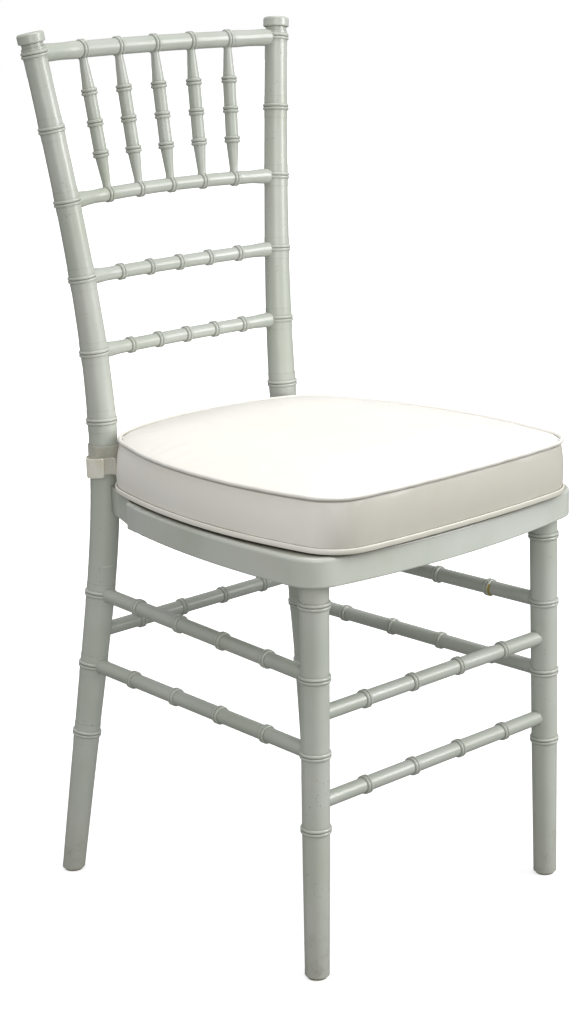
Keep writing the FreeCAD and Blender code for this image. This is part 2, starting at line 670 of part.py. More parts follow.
outside_neck = polygon_pad("outside_neck", [
    ("%s - Sizes.neck_cove_radius" % side_at_neck, "Sizes.neck_start_back + Sizes.neck_cove_radius"),
    ("Sizes.neck_outer_out", "Sizes.neck_outer_back"),
    ("Sizes.neck_outer_out", far_back),
    (far_out, far_back),
    (far_out, "Sizes.neck_start_back + Sizes.neck_cove_radius"),
], below_frame, past_frame)
cove = primitive("Part::Cylinder", "neck_cove", {"Radius": "Sizes.neck_cove_radius", "Height": past_frame})
cove.setExpression("Placement.Base.x", side_at_neck)
cove.setExpression("Placement.Base.y", "Sizes.neck_start_back + Sizes.neck_cove_radius")
cove.setExpression("Placement.Base.z", below_frame)
outside_right = joined("outside_right_neck", [outside_neck, cove])
outside_left = mirrored("outside_left_neck", outside_right)
frame_shaped = cut("frame_shaped", frame_blank, [outside_right, outside_left])
frame_shaped.recompute(True)
frame_corners = doc.addObject("Part::Fillet", "frame_corners")
frame_corners.Base = frame_shaped
upright = []
for number, edge in enumerate(frame_shaped.Shape.Edges, 1):
    middle = edge.CenterOfMass
    tall = edge.BoundBox.ZLength > size("frame_thickness") - 1.0
    if tall and middle.y < -size("frame_widest_front") and abs(middle.x) > size("frame_corner_radius"):
        upright.append((number, size("frame_corner_radius"), size("frame_corner_radius")))
frame_corners.Edges = upright
frame_corners.recompute()
frame_eased = doc.addObject("Part::Fillet", "frame_eased")
frame_eased.Base = frame_corners
rim = []
for number, edge in enumerate(frame_corners.Shape.Edges, 1):
    middle = edge.CenterOfMass
    level = edge.BoundBox.ZLength < 0.01
    if level and middle.y < size("neck_start_back"):
        top = middle.z > size("frame_bottom") + size("frame_thickness") / 2.0
        radius = size("frame_top_fillet") if top else size("frame_bottom_fillet")
        rim.append((number, radius, radius))
frame_eased.Edges = rim

inner_line_x = opening_rear_out + " - (" + opening_rear_out + " - Sizes.neck_inner_out) " \
               "* (%s - Sizes.neck_start_back) / (Sizes.neck_inner_back - Sizes.neck_start_back)"
opening_corners = [
    ("-Sizes.opening_front_half", "-(Sizes.frame_front - Sizes.front_rail_width)"),
    ("Sizes.opening_front_half", "-(Sizes.frame_front - Sizes.front_rail_width)"),
    (opening_front_out, "-Sizes.front_joint_front"),
    (opening_rear_out, "Sizes.neck_start_back"),
    (inner_line_x % "Sizes.rear_rail_start", "Sizes.rear_rail_start"),
    ("-(%s)" % (inner_line_x % "Sizes.rear_rail_start"), "Sizes.rear_rail_start"),
    ("-" + opening_rear_out, "Sizes.neck_start_back"),
    ("-" + opening_front_out, "-Sizes.front_joint_front"),
]
frame_opening = polygon_pad("frame_opening", opening_corners, below_frame, past_frame)



# The seat panel drops into a rabbet that follows the opening's outline.
ledge_lift = "Sizes.cut_margin + Sizes.frame_thickness - Sizes.rabbet_depth"
panel_rabbet = grown_pad("panel_rabbet", frame_opening, "Sizes.rabbet_width", ledge_lift,
                         "Sizes.rabbet_depth + Sizes.cut_margin")
panel_blank = grown_pad("panel_blank", frame_opening, "Sizes.rabbet_width - Sizes.panel_clearance",
                        ledge_lift,
                        "Sizes.panel_thickness")

panel_top = size("frame_bottom") + size("frame_thickness") - size("rabbet_depth") + size("panel_thickness")
half_rabbet = size("rabbet_width") / 2.0
side_slope = (value_of(opening_front_out) - value_of(opening_rear_out)) / \
    (size("front_joint_front") + size("neck_start_back"))


def side_opening_at(back):
    return value_of(opening_front_out) - side_slope * (back + size("front_joint_front"))


panel_screw_places = []
for side in (-1, 1):
    panel_screw_places.append((side * size("panel_screw_front_out"),
                               -(size("frame_front") - size("front_rail_width") + half_rabbet)))
    for back in (-size("panel_screw_side_front"), size("panel_screw_side_back")):
        panel_screw_places.append((side * (side_opening_at(back) + half_rabbet), back))
    panel_screw_places.append((side * size("panel_screw_front_out"), size("rear_rail_start") + half_rabbet))


def countersunk_screw(name, place, top, kind):
    # a flat head with a plain shank, head down from its top face
    head = primitive("Part::Cone", name + "_head",
                     {"Radius1": "Sizes.%s_radius" % kind, "Radius2": "Sizes.%s_head_radius" % kind,
                      "Height": "Sizes.%s_head_height" % kind},
                     vector(place[0], place[1], top - size(kind + "_head_height")))
    shank = primitive("Part::Cylinder", name + "_shank",
                      {"Radius": "Sizes.%s_radius" % kind, "Height": "Sizes.%s_length" % kind},
                      vector(place[0], place[1], top), vector(0, 0, -1))
    return joined(name, [head, shank])


panel_screw_list = []
for number, place in enumerate(panel_screw_places, 1):
    panel_screw_list.append(countersunk_screw("panel_screw_%d" % number, place, panel_top, "panel_screw"))
panel_screws = group("panel_screws", panel_screw_list)
leg_screw_list = []
for number, side in enumerate((-1, 1), 1):
    leg_screw_list.append(countersunk_screw("leg_screw_%d" % number, (side * screw_top.x, screw_top.y),
                                            screw_top.z, "leg_screw"))
leg_screws = group("leg_screws", leg_screw_list)

seat_panel = cut("seat_panel", panel_blank, [panel_screws])

# Dowels in the joints between the rails.
dowel_places = []
front_joint_out = (value_of(opening_front_out) + size("frame_half_width")) / 2.0
rear_dowel_back = size("rear_rail_start") + size("rear_dowel_inset")
for side in (-1, 1):
    for edge in (size("dowel_edge"), size("frame_thickness") - size("dowel_edge")):
        height = size("frame_bottom") + edge
        dowel_places.append((vector(side * front_joint_out,
                                    -size("front_joint_front") - size("dowel_length") / 2.0,
                                    height), vector(0, 1, 0)))
        reach = value_of(opening_rear_out) - (value_of(opening_rear_out) - size("neck_inner_out")) \
            * (rear_dowel_back - size("neck_start_back")) / (size("neck_inner_back") - size("neck_start_back"))
        dowel_places.append((vector(side * (reach - size("dowel_length") / 2.0), rear_dowel_back, height),
                             vector(side, 0, 0)))
dowel_list = []
dowel_bores = []
for number, (start, direction) in enumerate(dowel_places, 1):
    dowel_list.append(primitive("Part::Cylinder", "frame_dowel_%d" % number,
                                {"Radius": "Sizes.dowel_radius", "Height": "Sizes.dowel_length"}, start,
                                direction))
    dowel_bores.append(primitive("Part::Cylinder", "dowel_bore_%d" % number,
                                 {"Radius": "Sizes.dowel_radius + Sizes.dowel_clearance",
                                  "Height": "Sizes.dowel_length + 2 * Sizes.dowel_end_gap"},
                                 start - direction * size("dowel_end_gap"), direction))
frame_dowels = group("frame_dowels", dowel_list)
dowel_bore_set = joined("dowel_bores", dowel_bores)

# Front rail with both rounded corners, bored for the leg tenons.
front_region = polygon_pad("front_region", [
    ("-(%s)" % far_out, "-(Sizes.frame_front + Sizes.cut_margin)"),
    (far_out, "-(Sizes.frame_front + Sizes.cut_margin)"),
    (far_out, "-Sizes.front_joint_front"),
    ("-(%s)" % far_out, "-Sizes.front_joint_front"),
], below_frame, past_frame)
front_blank = shared("front_rail_blank", [frame_eased, front_region])
tenon_bores = []
for side in (-1, 1):
    place = vector(side * leg_top.x, leg_top.y, size("frame_bottom") - size("cut_margin"))
    tenon_bores.append(primitive("Part::Cylinder", "tenon_bore_%s" % ("left" if side < 0 else "right"),
                                 {"Radius": "Sizes.leg_tenon_radius + Sizes.joint_clearance",
                                  "Height": "Sizes.leg_tenon_height + Sizes.leg_tenon_gap + Sizes.cut_margin"},
                                 place))
    screw_place = vector(side * screw_top.x, screw_top.y, screw_top.z)
    tenon_bores.append(primitive("Part::Cylinder", "leg_screw_hole_%s" % ("left" if side < 0 else "right"),
                                 {"Radius": "Sizes.leg_screw_head_radius", "Height": "2 * Sizes.cut_margin"},
                                 screw_place))
front_seat_rail = cut("front_seat_rail", front_blank,
                      [frame_opening, panel_rabbet, dowel_bore_set, leg_screws, panel_screws] + tenon_bores)

# Side rails with a neck that is saddled round the rear post.
side_region = polygon_pad("side_region", [
    (opening_front_out, "-Sizes.front_joint_front"),
    (far_out, "-Sizes.front_joint_front"),
    (far_out, "Sizes.neck_outer_back"),
    ("Sizes.neck_outer_out", "Sizes.neck_outer_back"),
    ("Sizes.neck_corner_out", "Sizes.neck_corner_back"),
    ("Sizes.neck_inner_out", "Sizes.neck_inner_back"),
    (opening_rear_out, "Sizes.neck_start_back"),
], below_frame, past_frame)
side_blank = shared("side_rail_blank", [frame_eased, side_region])
saddle_direction = post_direction(bolt_height)
saddle = primitive("Part::Cylinder", "post_saddle",
                   {"Radius": post_radius(bolt_height) + size("saddle_clearance"),
                    "Height": 2.0 * size("frame_thickness")},
                   bolt_axis_point - saddle_direction * size("frame_thickness"), saddle_direction)
nut_place = bolt_axis_point + bolt_direction * size("nut_distance")
nut_bore = primitive("Part::Cylinder", "nut_bore",
                     {"Radius": "Sizes.nut_radius + Sizes.dowel_clearance",
                      "Height": "Sizes.frame_thickness / 2 + Sizes.nut_length / 2"},
                     vector(nut_place.x, nut_place.y, size("frame_bottom")))
right_seat_rail = cut("right_seat_rail", side_blank,
                      [panel_rabbet, dowel_bore_set, panel_screws, saddle,
                       nut_bore] + bolt_bore("rail_bolt_bore"))
left_seat_rail = mirrored("left_seat_rail", right_seat_rail)

# Rear rail between the necks.
rear_region = polygon_pad("rear_region", [
    ("-(%s)" % (inner_line_x % "Sizes.rear_rail_start"), "Sizes.rear_rail_start"),
    (inner_line_x % "Sizes.rear_rail_start", "Sizes.rear_rail_start"),
    (inner_line_x % "(Sizes.rear_rail_start + Sizes.rear_rail_width)",
     "Sizes.rear_rail_start + Sizes.rear_rail_width"),
    ("-(%s)" % (inner_line_x % "(Sizes.rear_rail_start + Sizes.rear_rail_width)"),
     "Sizes.rear_rail_start + Sizes.rear_rail_width"),
], "Sizes.frame_bottom", "Sizes.frame_thickness")
rear_seat_rail = cut("rear_seat_rail", rear_region, [panel_rabbet, dowel_bore_set, panel_screws])

# Bolts and barrel nuts.
right_bolt_head = primitive("Part::Cylinder", "bolt_head",
                            {"Radius": "Sizes.bolt_head_radius", "Height": "Sizes.bolt_head_height"},
                            bolt_seat, bolt_direction * -1)
right_bolt_shank = primitive("Part::Cylinder", "bolt_shank",
                             {"Radius": "Sizes.bolt_radius", "Height": "Sizes.bolt_length"},
                             bolt_seat, bolt_direction)
right_bolt = joined("right_bolt", [right_bolt_head, right_bolt_shank])
post_bolts = group("post_bolts", [mirrored("left_bolt", right_bolt), right_bolt])
right_nut = cut("right_nut",
                primitive("Part::Cylinder", "nut_blank",
                          {"Radius": "Sizes.nut_radius", "Height": "Sizes.nut_length"},
                          vector(nut_place.x, nut_place.y, bolt_height - size("nut_length") / 2.0)),
                [right_bolt_shank])
barrel_nuts = group("barrel_nuts", [mirrored("left_nut", right_nut), right_nut])

# Foot glides: a disc under each foot with a pin into the wood.
glide_list = []
for name, foot in (("front", leg_point(size("glide_height"))), ("rear", post_point(size("glide_height")))):
    for side in (-1, 1):
        tail = "%s_%s" % (name, "left" if side < 0 else "right")
        place = vector(side * foot.x, foot.y, 0.0)
        disc = primitive("Part::Cylinder", "glide_disc_" + tail,
                         {"Radius": "Sizes.glide_radius", "Height": "Sizes.glide_height"}, place)
        pin = primitive("Part::Cylinder", "glide_pin_" + tail,
                        {"Radius": "Sizes.glide_pin_radius",
                         "Height": "Sizes.glide_height + Sizes.glide_pin_length - Sizes.glide_pin_gap"},
                         place)
        glide_list.append(joined("glide_" + tail, [disc, pin]))
foot_glides = group("foot_glides", glide_list)


# Cushion: everything follows one outline with bowed sides, front and back.
cushion_bottom = size("frame_bottom") + size("frame_thickness") + size("cushion_gap")


def cushion_block(name, inset, bottom, top):
    def disc(tail, centre_x, centre_y, radius):
        piece = primitive("Part::Cylinder", name + tail, {"Radius": radius, "Height": top - bottom},
                          vector(0, 0, bottom))
        piece.setExpression("Placement.Base.x", centre_x)
        piece.setExpression("Placement.Base.y", centre_y)
        return piece

    grown = " - (%s)" % inset
    block = shared(name + "_blank", [
        disc("_right", "Sizes.cushion_half_width - Sizes.cushion_side_arc", "-Sizes.cushion_widest_front",
             "Sizes.cushion_side_arc" + grown),
        disc("_left", "Sizes.cushion_side_arc - Sizes.cushion_half_width", "-Sizes.cushion_widest_front",
             "Sizes.cushion_side_arc" + grown),
        disc("_front", "0", "Sizes.cushion_front_arc - Sizes.cushion_front",
             "Sizes.cushion_front_arc" + grown),
        disc("_back", "0", "Sizes.cushion_back - Sizes.cushion_back_arc", "Sizes.cushion_back_arc" + grown),
    ])
    block.recompute(True)
    rounded = doc.addObject("Part::Fillet", name)
    rounded.Base = block
    edges = []
    depth = value_of(inset)
    for number, edge in enumerate(block.Shape.Edges, 1):
        if edge.BoundBox.ZLength > (top - bottom) / 2.0:
            corner = "cushion_front_corner" if edge.CenterOfMass.y < 0 else "cushion_rear_corner"
            edges.append((number, size(corner) - depth, size(corner) - depth))
    rounded.Edges = edges
    return rounded


def crown_ball(name, inset):
    middle = (size("cushion_back") - size("cushion_front")) / 2.0
    top = cushion_bottom + size("cushion_side_height") + size("cushion_crown")
    ball = primitive("Part::Sphere", name, {"Radius": "Sizes.cushion_crown_radius - " + inset})
    ball.Placement = FreeCAD.Placement(vector(0, middle, top - size("cushion_crown_radius")),
                                       FreeCAD.Rotation())
    return ball


base_top = cushion_bottom + size("cushion_base_thickness")
crown_top = cushion_bottom + size("cushion_side_height") + size("cushion_crown") + size("cut_margin")
cushion_base = cushion_block("cushion_base", "0", cushion_bottom, base_top)
cover_outer = shared("cover_outer", [cushion_block("cover_outline", "0", base_top, crown_top),
                                     crown_ball("cover_ball", "0")])
cover_inner = shared("cover_inner",
                     [cushion_block("cover_hollow", "Sizes.cover_thickness", base_top - 1.0, crown_top),
                                     crown_ball("hollow_ball", "Sizes.cover_thickness")])
cushion_cover = cut("cushion_cover", cover_outer, [cover_inner])
foam_inset = "(Sizes.cover_thickness + Sizes.foam_clearance)"
cushion_foam = shared("cushion_foam", [cushion_block("foam_outline", foam_inset, base_top, crown_top),
                                       crown_ball("foam_ball", foam_inset)])
piping_top = cushion_bottom + size("cushion_side_height") + size("piping_height") / 2.0
piping_bottom = piping_top - size("piping_height")
piping_inner = cushion_block("piping_inner", "0", piping_bottom - size("cut_margin"),
                             piping_top + size("cut_margin"))
piping_band = cut("piping_band",
                  cushion_block("piping_outer", "-Sizes.piping_width", piping_bottom, piping_top),
                  [piping_inner])
piping_band.recompute(True)
top_piping = doc.addObject("Part::Fillet", "top_piping")
top_piping.Base = piping_band
outer_edges = []
for number, edge in enumerate(piping_band.Shape.Edges, 1):
    level = edge.BoundBox.ZLength < size("piping_round")
    if level and edge.distToShape(piping_inner.Shape)[0] > size("piping_width") / 2.0:
        outer_edges.append((number, size("piping_round"), size("piping_round")))
top_piping.Edges = outer_edges
binding_top = cushion_bottom + size("binding_height")
bottom_binding = cut("bottom_binding",
                     cushion_block("binding_outer", "-Sizes.binding_width", cushion_bottom, binding_top),
                     [cushion_block("binding_inner", "0", cushion_bottom - size("cut_margin"),
                                    binding_top + size("cut_margin"))])

# Straps: a loop of webbing round each rear post that runs on to the cushion's corner,
# closed by a second layer that laps over it.
strap_centre = post_point(size("strap_height"))
strap_turn = turned_to(post_direction(size("strap_height")))
loop_inner = post_radius(size("strap_height")) + size("strap_clearance")
loop_outer = loop_inner + size("strap_thickness")


def strap_ring(name, radius, width, angle=360.0):
    # a length of pipe blank whose axis is the post's
    start = strap_centre + strap_turn.multVec(vector(0, 0, -width / 2.0))
    ring = primitive("Part::Cylinder", name, {"Radius": radius, "Height": width, "Angle": angle})
    ring.Placement = FreeCAD.Placement(start, strap_turn)
    return ring


def strap_plate(name, out, reach, width):
    # the straight run of webbing that leaves the loop towards the front
    start = strap_centre + strap_turn.multVec(vector(out, -reach, -width / 2.0))
    plate = primitive("Part::Box", name, {"Length": "Sizes.strap_thickness", "Height": width,
                                          "Width": reach + size("strap_tab_sink")})
    plate.Placement = FreeCAD.Placement(start, strap_turn)
    return plate


loop_hole = strap_ring("strap_loop_hole", loop_inner, 2.0 * size("strap_width"))
strap_trim = cushion_block("strap_trim", "0", cushion_bottom - size("cut_margin"), crown_top)
right_strap = cut("right_strap", joined("right_strap_blank", [
    strap_ring("strap_loop", loop_outer, size("strap_width")),
    strap_plate("strap_tab", loop_inner - size("strap_tab_sink"), size("strap_tab_reach"),
                size("strap_width")),
]), [loop_hole, strap_trim])
left_strap = mirrored("left_strap", right_strap)
lap_inner = loop_outer + size("strap_lap_gap")
right_strap_end = cut("right_strap_end", joined("right_strap_end_blank", [
    strap_ring("strap_lap", lap_inner + size("strap_thickness"), size("strap_lap_width"),
               size("strap_lap_angle")),
    strap_plate("strap_lap_plate", lap_inner, size("strap_lap_reach"), size("strap_lap_width")),
]), [strap_ring("strap_lap_hole", lap_inner, 2.0 * size("strap_width"))])
left_strap_end = mirrored("left_strap_end", right_strap_end)

doc.recompute()

parts = [
    right_rear_post, left_rear_post, right_front_leg, left_front_leg,
    front_seat_rail, right_seat_rail, left_seat_rail, rear_seat_rail, seat_panel,
    top_rail, spindle_rail, upper_back_rail, lower_back_rail,
    upper_front_stretcher, lower_front_stretcher, rear_stretcher,
    upper_right_stretcher, lower_right_stretcher, upper_left_stretcher, lower_left_stretcher,
    frame_dowels, post_bolts, barrel_nuts, leg_screws, panel_screws, foot_glides,
    cushion_cover, cushion_foam, cushion_base, top_piping, bottom_binding,
    right_strap, left_strap, right_strap_end, left_strap_end,
] + spindles
for piece in parts:
    piece.Label = piece.Name

for thing in doc.Objects:
    for word in ("Invalid", "Error"):
        if word in thing.State:
            raise RuntimeError("%s is %s" % (thing.Name, word))
os.makedirs("parts", exist_ok=True)
for piece in parts:
    shape = piece.Shape
    if shape.isNull() or not shape.isValid() or not shape.Solids:
        raise RuntimeError("%s has no good shape" % piece.Label)
    shape.exportStep("parts/%s.step" % piece.Label)
    print("%-24s solids %2d  volume %10.1f" % (piece.Label, len(shape.Solids), shape.Volume))
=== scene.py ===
import math

import bmesh
import bpy
from mathutils import Matrix, Vector


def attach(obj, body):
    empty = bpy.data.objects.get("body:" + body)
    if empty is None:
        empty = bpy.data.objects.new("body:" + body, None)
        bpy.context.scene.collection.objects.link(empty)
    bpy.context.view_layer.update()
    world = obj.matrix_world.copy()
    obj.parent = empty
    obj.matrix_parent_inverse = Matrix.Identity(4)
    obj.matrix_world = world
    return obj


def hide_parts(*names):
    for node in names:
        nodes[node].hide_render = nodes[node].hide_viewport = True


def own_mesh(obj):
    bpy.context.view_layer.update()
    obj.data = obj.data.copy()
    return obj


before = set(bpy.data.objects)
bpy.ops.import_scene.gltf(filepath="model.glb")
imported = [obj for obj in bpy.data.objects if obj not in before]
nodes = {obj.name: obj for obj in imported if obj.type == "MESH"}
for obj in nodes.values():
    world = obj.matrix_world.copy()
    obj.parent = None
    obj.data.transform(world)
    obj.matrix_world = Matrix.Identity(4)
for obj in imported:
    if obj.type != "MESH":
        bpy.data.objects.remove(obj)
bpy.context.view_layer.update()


# Rear posts and front legs
# Turned and bent hardwood, sprayed with several coats of white semi-gloss lacquer. The feet are scuffed
# and grimed where they are dragged over floors, and the grooves beside the beads are darkened with painted
# shade.
def link(tree, source, target):
    tree.links.new(source, target)


def node_in(tree, kind, **settings):
    made = tree.nodes.new(kind)
    for name, value in settings.items():
        setattr(made, name, value)
    return made


def place_in(tree):
    return node_in(tree, "ShaderNodeTexCoord").outputs["Object"]


def noise_in(tree, place, scale, detail=3.0, rough=0.55):
    noise = node_in(tree, "ShaderNodeTexNoise")
    noise.inputs["Scale"].default_value = scale
    noise.inputs["Detail"].default_value = detail
    noise.inputs["Roughness"].default_value = rough
    link(tree, place, noise.inputs["Vector"])
    return noise.outputs["Fac"]


def ramp_in(tree, value, low, high, to_low=0.0, to_high=1.0):
    ramp = node_in(tree, "ShaderNodeMapRange", interpolation_type="SMOOTHSTEP")
    for name, number in (("From Min", low), ("From Max", high), ("To Min", to_low), ("To Max", to_high)):
        ramp.inputs[name].default_value = number
    link(tree, value, ramp.inputs["Value"])
    return ramp.outputs["Result"]


def math_in(tree, operation, first, second):
    made = node_in(tree, "ShaderNodeMath", operation=operation)
    for number, value in enumerate((first, second)):
        if isinstance(value, (int, float)):
            made.inputs[number].default_value = value
        else:
            link(tree, value, made.inputs[number])
    return made.outputs[0]


def vector_in(tree, operation, first, second=None):
    made = node_in(tree, "ShaderNodeVectorMath", operation=operation)
    link(tree, first, made.inputs[0])
    if second is not None:
        made.inputs[1].default_value = second
    return made.outputs["Value" if operation in ("LENGTH", "DOT_PRODUCT") else "Vector"]


def mix_in(tree, share, first, second, blend="MIX"):
    mix = node_in(tree, "ShaderNodeMix", data_type="RGBA", blend_type=blend)
    for socket, value in ((mix.inputs[0], share), (mix.inputs[6], first), (mix.inputs[7], second)):
        if isinstance(value, (int, float)):
            socket.default_value = value
        elif isinstance(value, tuple):
            socket.default_value = value + (1.0,)
        else:
            link(tree, value, socket)
    return mix.outputs[2]


def bump_on(tree, surface, height, strength, depth):
    bump = node_in(tree, "ShaderNodeBump")
    bump.inputs["Strength"].default_value = strength
    bump.inputs["Distance"].default_value = depth
    link(tree, height, bump.inputs["Height"])
    link(tree, bump.outputs["Normal"], surface.inputs["Normal"])


def new_finish(name):
    material = bpy.data.materials.new(name)
    material.use_nodes = True
    return material, material.node_tree, material.node_tree.nodes["Principled BSDF"]


def finish_nodes(names, material):
    for name in names:
        for slot in nodes[name].material_slots:
            slot.material = material


def effect_group(name, inputs, outputs):
    tree = bpy.data.node_groups.new(name, "ShaderNodeTree")
    for label, kind, value in inputs:
        socket = tree.interface.new_socket(label, in_out="INPUT", socket_type=kind)
        socket.default_value = value
    for label, kind in outputs:
        tree.interface.new_socket(label, in_out="OUTPUT", socket_type=kind)
    return tree, node_in(tree, "NodeGroupInput"), node_in(tree, "NodeGroupOutput")


def lacquer_wear_group():
    tree, given, out = effect_group("lacquer_wear", [
        ("Coat", "NodeSocketColor", (0.7, 0.7, 0.7, 1.0)),
        ("Grime", "NodeSocketColor", (0.2, 0.16, 0.1, 1.0)),
        ("Grime Height", "NodeSocketFloat", 0.1),
        ("Scuffs", "NodeSocketFloat", 0.5),
    ], [("Color", "NodeSocketColor"), ("Roughness", "NodeSocketFloat"), ("Height", "NodeSocketFloat")])
    place = place_in(tree)
    # coats of slightly uneven depth
    tone = noise_in(tree, place, 11.0, 3.0)
    uneven = ramp_in(tree, tone, 0.35, 0.68)
    cool = mix_in(tree, uneven, given.outputs["Coat"], (0.90, 0.93, 0.89), "MULTIPLY")
    # yellowed patches
    aged = noise_in(tree, place, 4.3, 4.0)
    coat = mix_in(tree, ramp_in(tree, aged, 0.5, 0.72, 0.0, 0.55), cool, (0.97, 0.955, 0.89), "MULTIPLY")
    # grime that thins out upwards from the floor
    height = node_in(tree, "ShaderNodeSeparateXYZ")
    link(tree, place, height.inputs[0])
    near_floor = node_in(tree, "ShaderNodeMapRange")
    near_floor.inputs["To Min"].default_value = 1.0
    near_floor.inputs["To Max"].default_value = 0.0
    link(tree, given.outputs["Grime Height"], near_floor.inputs["From Max"])
    link(tree, height.outputs["Z"], near_floor.inputs["Value"])
    smear = ramp_in(tree, noise_in(tree, place, 60.0, 7.0, 0.7), 0.5, 0.72)
    thinned = math_in(tree, "POWER", near_floor.outputs["Result"], 2.2)
    smeared = math_in(tree, "ADD", math_in(tree, "MULTIPLY", smear, 0.5), 0.22)
    grime = math_in(tree, "MULTIPLY", thinned, smeared)
    # long rubbed marks along the rods
    stretch = node_in(tree, "ShaderNodeMapping")
    stretch.inputs["Scale"].default_value = (70.0, 70.0, 22.0)
    link(tree, place, stretch.inputs["Vector"])
    rub = noise_in(tree, stretch.outputs["Vector"], 1.0, 8.0, 0.65)
    rub_marks_and_side_shade = math_in(tree, "MULTIPLY", ramp_in(tree, rub, 0.58, 0.8), given.outputs["Scuffs"])
    # small specks where the lacquer is nicked
    speck = node_in(tree, "ShaderNodeTexVoronoi", feature="F1")
    speck.inputs["Scale"].default_value = 210.0
    link(tree, place, speck.inputs["Vector"])
    sparse = ramp_in(tree, noise_in(tree, place, 24.0, 2.0), 0.57, 0.64)
    dots = math_in(tree, "MULTIPLY", ramp_in(tree, speck.outputs["Distance"], 0.2, 0.1), sparse)
    nick = math_in(tree, "MULTIPLY", dots, given.outputs["Scuffs"])
    dirty = mix_in(tree, math_in(tree, "MINIMUM", grime, 0.85), coat, given.outputs["Grime"])
    marked = mix_in(tree, math_in(tree, "MULTIPLY", rub_marks_and_side_shade, 0.3), dirty, (0.36, 0.36, 0.31))
    nicked = mix_in(tree, math_in(tree, "MULTIPLY", nick, 0.75), marked, (0.24, 0.2, 0.13))
    link(tree, nicked, out.inputs["Color"])
    sheen = ramp_in(tree, tone, 0.3, 0.7, 0.29, 0.38)
    dulled_by_rubbing = math_in(tree, "MULTIPLY", rub_marks_and_side_shade, 0.25)
    dulled_by_grime = math_in(tree, "MULTIPLY", grime, 0.35)
    dull = math_in(tree, "ADD", dulled_by_rubbing, dulled_by_grime)
    link(tree, math_in(tree, "ADD", sheen, dull), out.inputs["Roughness"])
    peel = math_in(tree, "MULTIPLY", noise_in(tree, place, 420.0, 2.0, 0.4), 0.3)
    sag = math_in(tree, "MULTIPLY", noise_in(tree, place, 42.0, 2.0, 0.4), 0.5)
    pit = math_in(tree, "MULTIPLY", nick, -1.2)
    link(tree, math_in(tree, "ADD", math_in(tree, "ADD", peel, sag), pit), out.inputs["Height"])
    return tree


lacquer_wear = lacquer_wear_group()
floor_grime = (0.27, 0.235, 0.165)
# colour of the painted shade in grooves and gaps
groove_shade_color = (0.16, 0.15, 0.12)


def lacquer(name, coat, scuffs, grime_height=0.13, ripple=0.08, groove_reach=0.004, groove_shades=(0.4, 0.92),
            own_grooves=True):
    material, tree, surface = new_finish(name)
    wear = node_in(tree, "ShaderNodeGroup", node_tree=lacquer_wear)
    wear.inputs["Coat"].default_value = coat + (1.0,)
    wear.inputs["Grime"].default_value = floor_grime + (1.0,)
    wear.inputs["Grime Height"].default_value = grime_height
    wear.inputs["Scuffs"].default_value = scuffs
    link(tree, wear.outputs["Roughness"], surface.inputs["Roughness"])
    surface.inputs["Specular IOR Level"].default_value = 0.55
    surface.inputs["Coat Weight"].default_value = 0.28
    surface.inputs["Coat Roughness"].default_value = 0.17
    # painted shade in the grooves, darker the deeper the groove
    groove = node_in(tree, "ShaderNodeAmbientOcclusion", samples=6, only_local=own_grooves)
    groove.inputs["Distance"].default_value = groove_reach
    painted_crevice_shade = ramp_in(tree, groove.outputs["AO"], *groove_shades, 0.9, 0.0)
    link(tree, mix_in(tree, painted_crevice_shade, wear.outputs["Color"], groove_shade_color), surface.inputs["Base Color"])
    bump_on(tree, surface, wear.outputs["Height"], ripple, 0.0006)
    return material


def mark(material, place, size, color, amount):
    # one knock or scratch in the lacquer, with a ragged edge
    tree = material.node_tree
    base_color = tree.nodes["Principled BSDF"].inputs["Base Color"]
    spot = place_in(tree)
    away = vector_in(tree, "DIVIDE", vector_in(tree, "SUBTRACT", spot, place), size)
    uneven = math_in(tree, "MULTIPLY", noise_in(tree, spot, 700.0, 4.0), 0.9)
    ragged = math_in(tree, "ADD", vector_in(tree, "LENGTH", away), uneven)
    painted = base_color.links[0].from_socket
    link(tree, mix_in(tree, ramp_in(tree, ragged, 1.45, 0.95, 0.0, amount), painted, color), base_color)


# The legs' coat is a darker tone of the same white lacquer, as painted shade.
leg_lacquer = lacquer("leg_lacquer", coat=(0.54, 0.561, 0.514), scuffs=0.75, grime_height=0.15)
# a pale scratch across the left rear post, and a dark knock on the right front leg
mark(leg_lacquer, (-0.1485, 0.1555, 0.354), (0.016, 0.016, 0.0007), (0.78, 0.79, 0.74), 0.8)
mark(leg_lacquer, (0.1535, -0.219, 0.3635), (0.0022, 0.02, 0.0055), (0.22, 0.2, 0.16), 0.75)
finish_nodes(["right_rear_post", "left_rear_post", "right_front_leg", "left_front_leg"], leg_lacquer)


# Foot glides
# Moulded nylon discs pressed into the end grain of each foot.
# They have worn dull and grey underneath.
def glide_plastic():
    material, tree, surface = new_finish("glide_nylon")
    scratch = noise_in(tree, place_in(tree), 420.0, 5.0, 0.7)
    worn = ramp_in(tree, scratch, 0.4, 0.7)
    link(tree, mix_in(tree, worn, (0.36, 0.34, 0.28), (0.2, 0.18, 0.14)), surface.inputs["Base Color"])
    link(tree, ramp_in(tree, scratch, 0.3, 0.7, 0.45, 0.7), surface.inputs["Roughness"])
    bump_on(tree, surface, scratch, 0.3, 0.0004)
    return material


finish_nodes(["foot_glides"], glide_plastic())


# Stretchers
# Turned rods with double beads, glued into the legs and posts and lacquered with them.
# The rings take knocks, and one on the right side is chipped down to the ground coat.
# The stretchers' coat is the darkest tone of the same white lacquer, as painted shade.
rod_coat = (0.49, 0.51, 0.466)
rod_scuffs = 0.7


